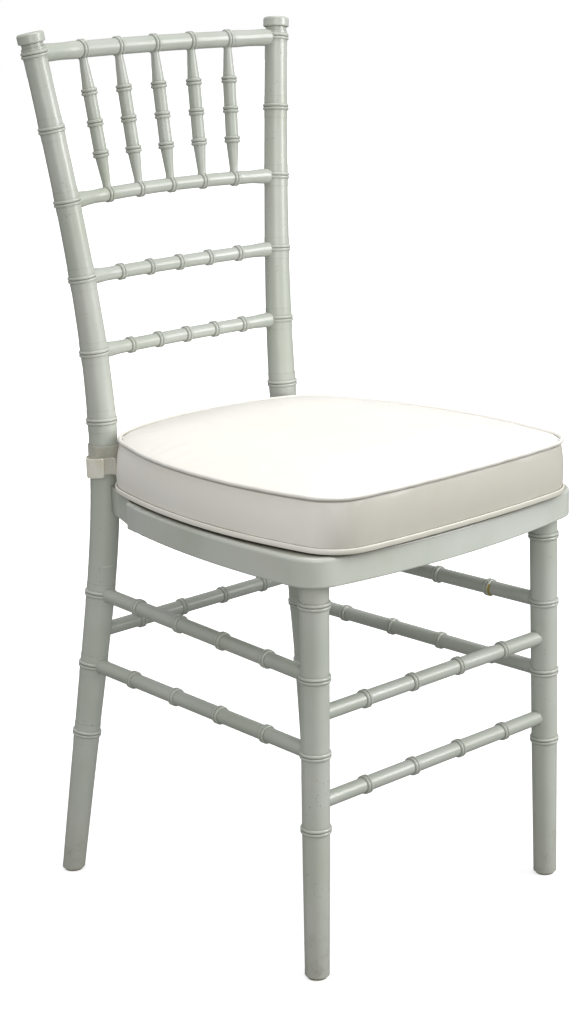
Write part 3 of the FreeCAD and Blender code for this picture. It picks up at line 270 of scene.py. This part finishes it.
def chipped_lacquer(ring, along, seen, ring_reach):
    # a crescent along the front edge of one ring, where the coats have come away
    material = lacquer("chipped_lacquer", rod_coat, rod_scuffs)
    tree = material.node_tree
    base_color = tree.nodes["Principled BSDF"].inputs["Base Color"]
    where = place_in(tree)
    away = vector_in(tree, "SUBTRACT", where, ring)
    ragged = math_in(tree, "MULTIPLY", noise_in(tree, where, 500.0, 4.0, 0.7), 0.0012)
    down_rod = math_in(tree, "ADD", vector_in(tree, "DOT_PRODUCT", away, along), ragged)
    off_edge = math_in(tree, "ABSOLUTE", math_in(tree, "SUBTRACT", down_rod, ring_reach), 0.0)
    strip = ramp_in(tree, off_edge, 0.0013, 0.0008)
    near_side = ramp_in(tree, vector_in(tree, "DOT_PRODUCT", away, seen), 0.0005, 0.0025)
    this_ring = ramp_in(tree, vector_in(tree, "LENGTH", away), 0.02, 0.018)
    bare = math_in(tree, "MULTIPLY", math_in(tree, "MULTIPLY", strip, near_side), this_ring)
    painted = base_color.links[0].from_socket
    link(tree, mix_in(tree, bare, painted, (0.33, 0.255, 0.05)), base_color)
    return material


finish_nodes(["upper_front_stretcher", "lower_front_stretcher", "rear_stretcher", "lower_right_stretcher",
              "upper_left_stretcher", "lower_left_stretcher"],
             lacquer("stretcher_lacquer", rod_coat, rod_scuffs))
finish_nodes(["upper_right_stretcher"],
             chipped_lacquer(ring=(0.1637, -0.1127, 0.3172), along=(0.05, -0.9986, -0.013),
                             seen=(-0.8, 0.0, -0.6), ring_reach=0.0042))


# Back rails and spindles
# Bowed rails and slim tapered spindles, glued between the posts.
# Their lacquer is the cleanest on the chair, because hands keep it wiped.
# The back's coat is a darker tone of the same white lacquer, as painted shade.
finish_nodes(["top_rail", "spindle_rail", "upper_back_rail", "lower_back_rail"] +
             ["back_spindle_%d" % number for number in range(1, 6)],
             lacquer("back_lacquer", coat=(0.505, 0.525, 0.485), scuffs=0.3))


# Seat frame and seat panel
# Four sawn rails dowelled into one frame, and a thin panel let into a rabbet, all lacquered together.
# The frame is darkened with painted shade in the narrow gap under the cushion.
# The frame and panel coats are lighter tones of the same white lacquer, as painted light; the wide groove
# reach takes in the cushion to paint its shade onto the frame.
finish_nodes(["front_seat_rail", "right_seat_rail", "left_seat_rail", "rear_seat_rail"],
             lacquer("frame_lacquer", coat=(0.62, 0.643, 0.60), scuffs=0.35, ripple=0.1, groove_reach=0.022,
                     groove_shades=(0.58, 0.965), own_grooves=False))
finish_nodes(["seat_panel"], lacquer("panel_lacquer", coat=(0.60, 0.62, 0.58), scuffs=0.5, ripple=0.2))


# Fastenings
# Beech dowels in the frame joints, and zinc plated bolts, barrel nuts and screws.
# All of them are sunk in the wood and out of sight.
def dowel_wood():
    material, tree, surface = new_finish("dowel_beech")
    grain = noise_in(tree, place_in(tree), 900.0, 4.0)
    link(tree, mix_in(tree, grain, (0.5, 0.33, 0.17), (0.66, 0.48, 0.28)), surface.inputs["Base Color"])
    link(tree, ramp_in(tree, grain, 0.3, 0.7, 0.55, 0.75), surface.inputs["Roughness"])
    return material


def zinc_plate():
    material, tree, surface = new_finish("zinc_plate")
    bloom = noise_in(tree, place_in(tree), 260.0, 5.0, 0.7)
    dulled = ramp_in(tree, bloom, 0.4, 0.7)
    link(tree, mix_in(tree, dulled, (0.62, 0.62, 0.6), (0.45, 0.44, 0.4)), surface.inputs["Base Color"])
    link(tree, ramp_in(tree, bloom, 0.3, 0.7, 0.28, 0.5), surface.inputs["Roughness"])
    surface.inputs["Metallic"].default_value = 1.0
    return material


finish_nodes(["frame_dowels"], dowel_wood())
finish_nodes(["post_bolts", "barrel_nuts", "leg_screws", "panel_screws"], zinc_plate())


# Seat cushion
# A foam block in a cover of white grained vinyl. The top is crowned, and the boxed sides swell a little
# between the piping and the flange, where the stuffing presses them out.
cushion_middle = Vector((0.0, -0.026, 0.0))
cushion_bottom = 0.4441
boxing_bottom = 0.4475
piping_height = 0.4988
crown = 0.0112
boxing_swell = 0.0024
boxing_inset = 0.0036
seam_inset = 0.0056
front_corner_draw = 0.0024
rear_corner_lean = 0.0045
edge_lift = 0.0014


def vinyl_grain_group():
    tree, given, out = effect_group("vinyl_grain", [
        ("Vinyl", "NodeSocketColor", (0.8, 0.8, 0.8, 1.0)),
        ("Front", "NodeSocketColor", (0.7, 0.7, 0.7, 1.0)),
        ("Soil", "NodeSocketFloat", 0.3),
        ("Seam Shade", "NodeSocketFloat", 0.0),
    ], [("Color", "NodeSocketColor"), ("Roughness", "NodeSocketFloat"), ("Height", "NodeSocketFloat")])
    place = place_in(tree)
    cloud = noise_in(tree, place, 7.0, 4.0)
    handled = noise_in(tree, place, 26.0, 6.0, 0.65)
    # painted shade: faces turned to the front, the right and downwards get the darker front colour, by their
    # direction
    outwards = node_in(tree, "ShaderNodeTexCoord").outputs["Normal"]
    rub_marks_and_side_shade = ramp_in(tree, vector_in(tree, "DOT_PRODUCT", outwards, (0.6, -0.8, -0.9)), -0.5, 0.7)
    side_shaded = mix_in(tree, rub_marks_and_side_shade, given.outputs["Vinyl"], given.outputs["Front"])
    soil = math_in(tree, "MULTIPLY", ramp_in(tree, handled, 0.48, 0.75), given.outputs["Soil"])
    warm = mix_in(tree, ramp_in(tree, cloud, 0.35, 0.7), side_shaded, (0.985, 0.975, 0.955), "MULTIPLY")
    soiled = mix_in(tree, soil, warm, (0.88, 0.85, 0.78), "MULTIPLY")
    # painted shade in a thin line along the seam under the piping
    height = node_in(tree, "ShaderNodeSeparateXYZ")
    link(tree, place, height.inputs[0])
    above_line = ramp_in(tree, height.outputs["Z"], 0.4942, 0.4954)
    below_line = ramp_in(tree, height.outputs["Z"], 0.4985, 0.4975)
    line = math_in(tree, "MULTIPLY", above_line, below_line)
    seam_shade_line = math_in(tree, "MULTIPLY", line, given.outputs["Seam Shade"])
    link(tree, mix_in(tree, seam_shade_line, soiled, (0.30, 0.285, 0.25)), out.inputs["Color"])
    # pebbled grain and faint creases
    cells = node_in(tree, "ShaderNodeTexVoronoi", feature="DISTANCE_TO_EDGE")
    cells.inputs["Scale"].default_value = 900.0
    link(tree, place, cells.inputs["Vector"])
    pebble = ramp_in(tree, cells.outputs["Distance"], 0.0, 0.22)
    link(tree, ramp_in(tree, handled, 0.3, 0.75, 0.34, 0.46), out.inputs["Roughness"])
    crease = math_in(tree, "MULTIPLY", noise_in(tree, place, 55.0, 3.0), 1.6)
    link(tree, math_in(tree, "ADD", pebble, crease), out.inputs["Height"])
    return tree


vinyl_grain = vinyl_grain_group()


# front is the darker colour painted as shade on faces turned to the front and right
def vinyl(name, color, front, soil, seam_shade=0.0):
    material, tree, surface = new_finish(name)
    grain = node_in(tree, "ShaderNodeGroup", node_tree=vinyl_grain)
    grain.inputs["Vinyl"].default_value = color + (1.0,)
    grain.inputs["Front"].default_value = front + (1.0,)
    grain.inputs["Soil"].default_value = soil
    grain.inputs["Seam Shade"].default_value = seam_shade
    # painted shade in the folds where the pieces meet
    fold = node_in(tree, "ShaderNodeAmbientOcclusion", samples=6)
    fold.inputs["Distance"].default_value = 0.002
    painted_crevice_shade = ramp_in(tree, fold.outputs["AO"], 0.2, 0.6, 0.8, 0.0)
    link(tree, mix_in(tree, painted_crevice_shade, grain.outputs["Color"], (0.26, 0.25, 0.21)), surface.inputs["Base Color"])
    link(tree, grain.outputs["Roughness"], surface.inputs["Roughness"])
    surface.inputs["Specular IOR Level"].default_value = 0.45
    surface.inputs["Sheen Weight"].default_value = 0.1
    bump_on(tree, surface, grain.outputs["Height"], 0.1, 0.0004)
    return material


def plan_outline(count=360):
    # the cushion's plan outline, read from its base, at evenly spaced directions round its middle
    base = nodes["cushion_base"].data.vertices
    corners = {(round(vert.co.x, 5), round(vert.co.y, 5)) for vert in base}
    from_middle = [(x, y - cushion_middle.y) for x, y in corners]
    rim = sorted((math.atan2(y, x), math.hypot(x, y)) for x, y in from_middle)
    rim = [item for item in rim if item[1] > 0.15]
    rim = [(rim[-1][0] - math.tau, rim[-1][1])] + rim + [(rim[0][0] + math.tau, rim[0][1])]
    outline = []
    spot = 0
    for step in range(count):
        angle = -math.pi + math.tau * step / count
        while rim[spot + 1][0] < angle:
            spot += 1
        (before, near), (after, far) = rim[spot], rim[spot + 1]
        reach = near + (far - near) * (angle - before) / max(after - before, 1e-9)
        # the front corners are drawn in a little by the stuffing
        if math.sin(angle) < 0.0:
            reach -= front_corner_draw * abs(math.sin(2.0 * angle)) ** 6
        outline.append(cushion_middle + Vector((math.cos(angle), math.sin(angle), 0.0)) * reach)
    return outline


def outline_ring(out, height, scale=1.0):
    # the outline moved outwards, then drawn in towards the middle. The rear corners lean in higher up
    count = len(cushion_outline)
    risen = min(1.0, max(0.0, (height - boxing_bottom) / (piping_height - boxing_bottom)))
    ring = []
    for step in range(count):
        along = (cushion_outline[(step + 2) % count] - cushion_outline[step - 2]).normalized()
        outwards = Vector((along.y, -along.x, 0.0))
        at_rear_corner = abs(math.sin(math.tau * 2.0 * step / count)) ** 6 * (step > count / 2)
        moved = cushion_outline[step] + outwards * (out - rear_corner_lean * risen ** 2 * at_rear_corner)
        point = cushion_middle + (moved - cushion_middle) * scale
        ring.append(Vector((point.x, point.y, height)))
    return ring


def skin_rings(name, rings, closed_profile=False, capped=False):
    # a skin bridged from ring to ring
    skin = bmesh.new()
    loops = []
    for ring in rings:
        corners = [skin.verts.new(point) for point in ring]
        loops.append([skin.edges.new(pair) for pair in zip(corners, corners[1:] + corners[:1])])
    pairs = list(zip(loops, loops[1:]))
    if closed_profile:
        pairs.append((loops[-1], loops[0]))
    for near, far in pairs:
        bmesh.ops.bridge_loops(skin, edges=near + far)
    if capped:
        for loop in (loops[0], loops[-1]):
            bmesh.ops.edgeloop_fill(skin, edges=loop)
    bmesh.ops.recalc_face_normals(skin, faces=skin.faces)
    mesh = bpy.data.meshes.new(name)
    skin.to_mesh(mesh)
    skin.free()
    return mesh


def side_lift(point):
    # how far the cushion's lower edge stands off the side rails, most in the middle of each side
    along = max(0.0, 1.0 - ((point.y + 0.045) / 0.19) ** 2)
    outward = min(1.0, max(0.0, (abs(point.x) - 0.12) / 0.05))
    low = min(1.0, max(0.0, (0.478 - point.z) / 0.025))
    return edge_lift * along * outward * low


def show_smooth(mesh):
    for face in mesh.polygons:
        face.use_smooth = True
    mesh.update()


def apply_modifiers(piece):
    shaped = bpy.data.meshes.new_from_object(piece.evaluated_get(bpy.context.evaluated_depsgraph_get()))
    piece.modifiers.clear()
    piece.data = shaped
    return piece


def new_piece(name, mesh, material):
    piece = bpy.data.objects.new(name, mesh)
    bpy.context.scene.collection.objects.link(piece)
    piece.data.materials.clear()
    piece.data.materials.append(material)
    return piece


cushion_outline = plan_outline()
shell_rings = [outline_ring(-0.012, cushion_bottom), outline_ring(-0.0048, cushion_bottom + 0.0005)]
for step in range(11):
    share = step / 10
    swell = boxing_swell * math.sin(math.pi * share) ** 0.7
    inset = boxing_inset + (seam_inset - boxing_inset) * share
    shell_rings.append(outline_ring(swell - inset, boxing_bottom + (piping_height - boxing_bottom) * share))
for scale in (0.992, 0.98, 0.965, 0.945, 0.92, 0.89, 0.85, 0.8, 0.72, 0.6, 0.45, 0.3, 0.15, 0.05):
    shell_rings.append(outline_ring(-seam_inset, piping_height + crown * (1.0 - scale ** 7.0), scale))
cushion_vinyl = vinyl("cushion_vinyl", (0.965, 0.948, 0.895), (0.57, 0.551, 0.49), 0.15, seam_shade=0.7)
cushion = new_piece("cushion", skin_rings("cushion_shell", shell_rings, capped=True), cushion_vinyl)
remesh = cushion.modifiers.new("even_mesh", "REMESH")
remesh.mode = "VOXEL"
remesh.voxel_size = 0.0045
apply_modifiers(cushion)
sewn = cushion.vertex_groups.new(name="sewn")
for vert in cushion.data.vertices:
    across = Vector((vert.co.x, vert.co.y, 0.0)) - cushion_middle
    step = (math.atan2(across.y, across.x) + math.pi) / math.tau * len(cushion_outline)
    edge_share = across.length / (cushion_outline[int(step) % len(cushion_outline)] - cushion_middle).length
    at_piping = abs(vert.co.z - piping_height) < 0.003 and edge_share > 0.955
    if at_piping or vert.co.z < 0.4495:
        sewn.add([vert.index], 1.0, "REPLACE")
at_rest = [vert.co.copy() for vert in cushion.data.vertices]
cloth = cushion.modifiers.new("stuffing", "CLOTH")
cloth.settings.quality = 6
cloth.settings.mass = 0.3
cloth.settings.tension_stiffness = 18.0
cloth.settings.compression_stiffness = 18.0
cloth.settings.shear_stiffness = 8.0
cloth.settings.bending_stiffness = 2.0
cloth.settings.use_pressure = True
cloth.settings.uniform_pressure_force = 4.0
cloth.settings.vertex_group_mass = "sewn"
cloth.settings.effector_weights.gravity = 0.0
cloth.point_cache.frame_start = 1
cloth.point_cache.frame_end = 20
for step in range(1, 21):
    bpy.context.scene.frame_set(step)
apply_modifiers(cushion)
bpy.context.scene.frame_set(1)
top_swell_limit, side_swell_limit = 0.0026, 0.0024
for vert, start in zip(cushion.data.vertices, at_rest):
    swell = vert.co - start
    limit = top_swell_limit if start.z > piping_height else side_swell_limit
    if swell.length > limit:
        swell *= limit / swell.length
    vert.co = start + swell
    vert.co.z += side_lift(vert.co)
cushion.vertex_groups.clear()
fine = cushion.modifiers.new("fine", "SUBSURF")
fine.levels = fine.render_levels = 1
apply_modifiers(cushion)
show_smooth(cushion.data)
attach(cushion, "cushion")
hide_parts("cushion_cover", "cushion_foam", "cushion_base")


# Piping
# A cord covered in the same vinyl, sewn into the seam between the top and the boxed sides.
# It stands a little proud of both.
piping_radius = 0.0022
piping_out = -0.0040
piping_rings = []
for step in range(12):
    angle = math.tau * step / 12
    piping_rings.append(outline_ring(piping_out + piping_radius * math.cos(angle),
                                     piping_height + piping_radius * math.sin(angle)))
piping_vinyl = vinyl("piping_vinyl", (0.93, 0.92, 0.88), (0.66, 0.645, 0.59), 0.2)
piping = new_piece("top_piping_cord", skin_rings("piping", piping_rings, closed_profile=True), piping_vinyl)
# hand-fed sewing leaves the cord very slightly wavy
for vert in piping.data.vertices:
    turn = math.atan2(vert.co.y - cushion_middle.y, vert.co.x)
    vert.co.z += 0.0001 * math.sin(turn * 23.0) + 0.00008 * math.sin(turn * 57.0 + 1.0)
show_smooth(piping.data)
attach(piping, "cushion")
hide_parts("top_piping")


# Flange
# The boxing and the base are turned in and sewn together in a flat rolled edge along the cushion's foot.
# The profile is given as distance out from the outline and height.
flange_profile = [(-0.014, 0.4440), (-0.0055, 0.4441), (-0.0022, 0.4443), (-0.0012, 0.4447),
                  (-0.0009, 0.4453), (-0.0009, 0.4492), (-0.0012, 0.4498), (-0.0019, 0.4501),
                  (-0.0026, 0.4496), (-0.0034, 0.4488), (-0.014, 0.4486)]
flange_vinyl = vinyl("flange_vinyl", (0.93, 0.915, 0.855), (0.62, 0.605, 0.53), 0.3)
flange_rings = [outline_ring(out, height) for out, height in flange_profile]
flange = new_piece("bottom_flange", skin_rings("flange", flange_rings, closed_profile=True), flange_vinyl)
for vert in flange.data.vertices:
    vert.co.z += side_lift(vert.co)
show_smooth(flange.data)
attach(flange, "cushion")
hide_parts("bottom_binding")


# Straps
# Ivory hook-and-loop webbing. A tab sewn to each rear corner of the cushion runs back to the post, an inner
# band hugs the post, and the outer band laps over both, its free end cut with rounded corners.
strap_post_out, strap_post_back = 0.1326, 0.1783
inner_radius, tab_radius, outer_radius = 0.0166, 0.0175, 0.0191
inner_low, inner_high = 0.4625, 0.4868
outer_low, tab_low, strap_high = 0.4508, 0.4540, 0.4722
lap, lap_steps = 0.023, 46
tab_reach, tab_steps = 0.042, 42
corner_radius = 0.0025
strap_climb, climb_length = 0.0078, 0.04


def webbing_group():
    tree, given, out = effect_group("loop_webbing", [
        ("Thread", "NodeSocketColor", (0.7, 0.66, 0.55, 1.0)),
    ], [("Color", "NodeSocketColor"), ("Height", "NodeSocketFloat")])
    place = place_in(tree)
    rows = node_in(tree, "ShaderNodeTexWave", wave_type="BANDS", bands_direction="Z")
    rows.inputs["Scale"].default_value = 320.0
    rows.inputs["Distortion"].default_value = 1.5
    link(tree, place, rows.inputs["Vector"])
    fuzz = noise_in(tree, place, 1500.0, 4.0, 0.7)
    worn = ramp_in(tree, noise_in(tree, place, 60.0, 4.0), 0.4, 0.7)
    thread = mix_in(tree, worn, given.outputs["Thread"], (0.93, 0.9, 0.84), "MULTIPLY")
    between_rows = math_in(tree, "MULTIPLY", rows.outputs["Fac"], 0.2)
    link(tree, mix_in(tree, between_rows, thread, (0.78, 0.76, 0.7), "MULTIPLY"), out.inputs["Color"])
    link(tree, math_in(tree, "ADD", rows.outputs["Fac"], fuzz), out.inputs["Height"])
    return tree


loop_webbing = webbing_group()


def webbing(name, color):
    material, tree, surface = new_finish(name)
    weave = node_in(tree, "ShaderNodeGroup", node_tree=loop_webbing)
    weave.inputs["Thread"].default_value = color + (1.0,)
    link(tree, weave.outputs["Color"], surface.inputs["Base Color"])
    surface.inputs["Roughness"].default_value = 0.7
    surface.inputs["Sheen Weight"].default_value = 0.25
    bump_on(tree, surface, weave.outputs["Height"], 0.4, 0.0003)
    return material


def webbing_strip(name, path, low, high, thickness, material, round_end=0.0):
    # a strip on edge, drawn along a plan path from an upright end. That end can have rounded corners
    rows = 10
    middle = (low + high) / 2.0
    strip_mesh = bmesh.new()
    tall = high - low - 2.0 * round_end
    corners = [strip_mesh.verts.new((path[0].x, path[0].y, middle + tall * (row / rows - 0.5)))
               for row in range(rows + 1)]
    edge_now = [strip_mesh.edges.new(pair) for pair in zip(corners, corners[1:])]
    done = 0.0
    for before, point in zip(path, path[1:]):
        done += (point - before).length
        trim = 0.0
        if done < round_end:
            trim = round_end - math.sqrt(round_end ** 2 - (round_end - done) ** 2)
        grown = bmesh.ops.extrude_edge_only(strip_mesh, edges=edge_now)["geom"]
        corners = {item for item in grown if isinstance(item, bmesh.types.BMVert)}
        edge_now = [item for item in grown
                    if isinstance(item, bmesh.types.BMEdge) and corners.issuperset(item.verts)]
        stretch = (high - low - 2.0 * trim) / tall
        for corner in corners:
            corner.co = (point.x, point.y, middle + (corner.co.z - middle) * stretch)
        tall *= stretch
    bmesh.ops.remove_doubles(strip_mesh, verts=strip_mesh.verts, dist=0.00001)
    mesh = bpy.data.meshes.new(name)
    strip_mesh.to_mesh(mesh)
    strip_mesh.free()
    strip = new_piece(name, mesh, material)
    thick = strip.modifiers.new("thick", "SOLIDIFY")
    thick.thickness = thickness
    thick.offset = 0.0
    edge = strip.modifiers.new("edge", "BEVEL")
    edge.width = 0.0003
    edge.segments = 2
    edge.limit_method = "ANGLE"
    edge.angle_limit = math.radians(50.0)
    apply_modifiers(strip)
    show_smooth(strip.data)
    return strip


def post_arc(across, radius, first, last, steps=72):
    # plan path round a rear post, by angles from its outer side towards the front
    path = []
    for step in range(steps + 1):
        angle = math.radians(first + (last - first) * step / steps)
        path.append(Vector((across * (strap_post_out + radius * math.cos(angle)),
                            strap_post_back - radius * math.sin(angle), 0.0)))
    return path


# The inner band and the tab take darker copies of the same ivory webbing colour, as painted shade.
outer_webbing = webbing("outer_webbing", (0.95, 0.94, 0.84))
shaded_inner_webbing = webbing("shaded_inner_webbing", (0.50, 0.505, 0.45))
shaded_tab_webbing = webbing("shaded_tab_webbing", (0.66, 0.65, 0.575))
for side, across in (("left", -1.0), ("right", 1.0)):
    inner_band = webbing_strip(side + "_inner_band", post_arc(across, inner_radius, 0.0, 360.0),
                               inner_low, inner_high, 0.0010, shaded_inner_webbing)
    outer_side = across * (strap_post_out + outer_radius)
    free_end = [Vector((outer_side, strap_post_back - lap * step / lap_steps, 0.0))
                for step in range(lap_steps, 0, -1)]
    outer_band = webbing_strip(side + "_outer_band", free_end + post_arc(across, outer_radius, 0.0, -200.0),
                               outer_low, strap_high, 0.0014, outer_webbing, round_end=corner_radius)
    tab_side = across * (strap_post_out + tab_radius)
    to_cushion = [Vector((tab_side, strap_post_back - tab_reach * step / tab_steps, 0.0))
                  for step in range(1, tab_steps + 1)]
    tab = webbing_strip(side + "_tab", post_arc(across, tab_radius, -30.0, 0.0, 12) + to_cushion,
                        tab_low, strap_high, 0.0012, shaded_tab_webbing)
    # the strap climbs from the post to the cushion
    for strap in (outer_band, tab):
        for vert in strap.data.vertices:
            share = min(1.0, max(0.0, (strap_post_back + 0.004 - vert.co.y) / climb_length))
            vert.co.z += strap_climb * share ** 1.3
    for strap in (inner_band, outer_band, tab):
        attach(strap, "cushion")
        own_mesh(strap)
    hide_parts(side + "_strap_end")
    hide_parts(side + "_strap")


# Floor and light
# A white studio floor that runs out of sight and keeps the chair's shadow.
# A tall soft box stands to the right of the front, a weaker one to the left, and one hangs overhead.
floor_mesh = bpy.data.meshes.new("studio_floor")
ground = bmesh.new()
bmesh.ops.create_grid(ground, x_segments=2, y_segments=2, size=12.0)
ground.to_mesh(floor_mesh)
ground.free()
floor_paint, tree, plain_surface = new_finish("floor_paint")
tree.nodes.remove(plain_surface)
to_camera = node_in(tree, "ShaderNodeLightPath").outputs["Is Camera Ray"]
matt = node_in(tree, "ShaderNodeBsdfDiffuse")
link(tree, mix_in(tree, to_camera, (0.24, 0.24, 0.235), (0.6, 0.6, 0.6)), matt.inputs["Color"])
from_chair = ramp_in(tree, vector_in(tree, "LENGTH", place_in(tree)), 0.5, 1.6, 0.66, 1.0)
glow = node_in(tree, "ShaderNodeEmission")
link(tree, math_in(tree, "MULTIPLY", to_camera, from_chair), glow.inputs["Strength"])
both = node_in(tree, "ShaderNodeAddShader")
link(tree, matt.outputs[0], both.inputs[0])
link(tree, glow.outputs[0], both.inputs[1])
link(tree, both.outputs[0], tree.nodes["Material Output"].inputs["Surface"])
floor = new_piece("studio_floor", floor_mesh, floor_paint)

world = bpy.data.worlds.new("studio")
bpy.context.scene.world = world
world.use_nodes = True
tree = world.node_tree
sky = tree.nodes["Background"]
ray = node_in(tree, "ShaderNodeLightPath")
seen = math_in(tree, "MAXIMUM", ray.outputs["Is Camera Ray"], ray.outputs["Is Transmission Ray"])
sky.inputs["Color"].default_value = (1.0, 1.0, 1.0, 1.0)
link(tree, ramp_in(tree, seen, 0.0, 1.0, 0.50, 1.0), sky.inputs["Strength"])


def soft_box(name, place, target, size, energy, color=(1.0, 1.0, 1.0)):
    lamp = bpy.data.lights.new(name, "AREA")
    lamp.shape = "RECTANGLE"
    lamp.size, lamp.size_y = size
    lamp.energy = energy
    lamp.color = color
    holder = bpy.data.objects.new(name, lamp)
    bpy.context.scene.collection.objects.link(holder)
    holder.location = place
    holder.rotation_euler = (Vector(target) - Vector(place)).to_track_quat("-Z", "Y").to_euler()


soft_box("key_box", (1.45, -2.0, 1.6), (0.0, 0.0, 0.5), (0.9, 1.8), 47.0)
soft_box("fill_box", (-2.0, -2.1, 1.3), (0.0, 0.0, 0.45), (1.6, 1.8), 21.0, (1.0, 0.985, 0.955))
soft_box("top_box", (0.2, 0.2, 6.0), (0.0, -0.05, 0.4), (3.4, 3.4), 140.0)
bpy.context.scene.view_settings.view_transform = "Standard"


# Camera
# Stands about two and a quarter metres off, to the left of the front, looking slightly down.
# A long lens and a small shift give the photograph's framing.
aim = Vector((-0.03506, -0.0133, 0.418))
distance = 2.2639
yaw, pitch, roll = math.radians(-42.29), math.radians(15.2), math.radians(-1.61)
back = Vector((math.sin(yaw) * math.cos(pitch), -math.cos(yaw) * math.cos(pitch), math.sin(pitch)))
right = Vector((math.cos(yaw), math.sin(yaw), 0.0))
up = back.cross(right)
right, up = right * math.cos(roll) + up * math.sin(roll), up * math.cos(roll) - right * math.sin(roll)
lens = bpy.data.cameras.new("camera")
lens.lens = 75.68
lens.sensor_width = 36.0
lens.shift_x = 0.0011
lens.shift_y = 0.0059
camera = bpy.data.objects.new("camera", lens)
bpy.context.scene.collection.objects.link(camera)
turn = Matrix((right, up, back)).transposed().to_4x4()
camera.matrix_world = Matrix.Translation(aim + back * distance) @ turn
bpy.context.scene.camera = camera
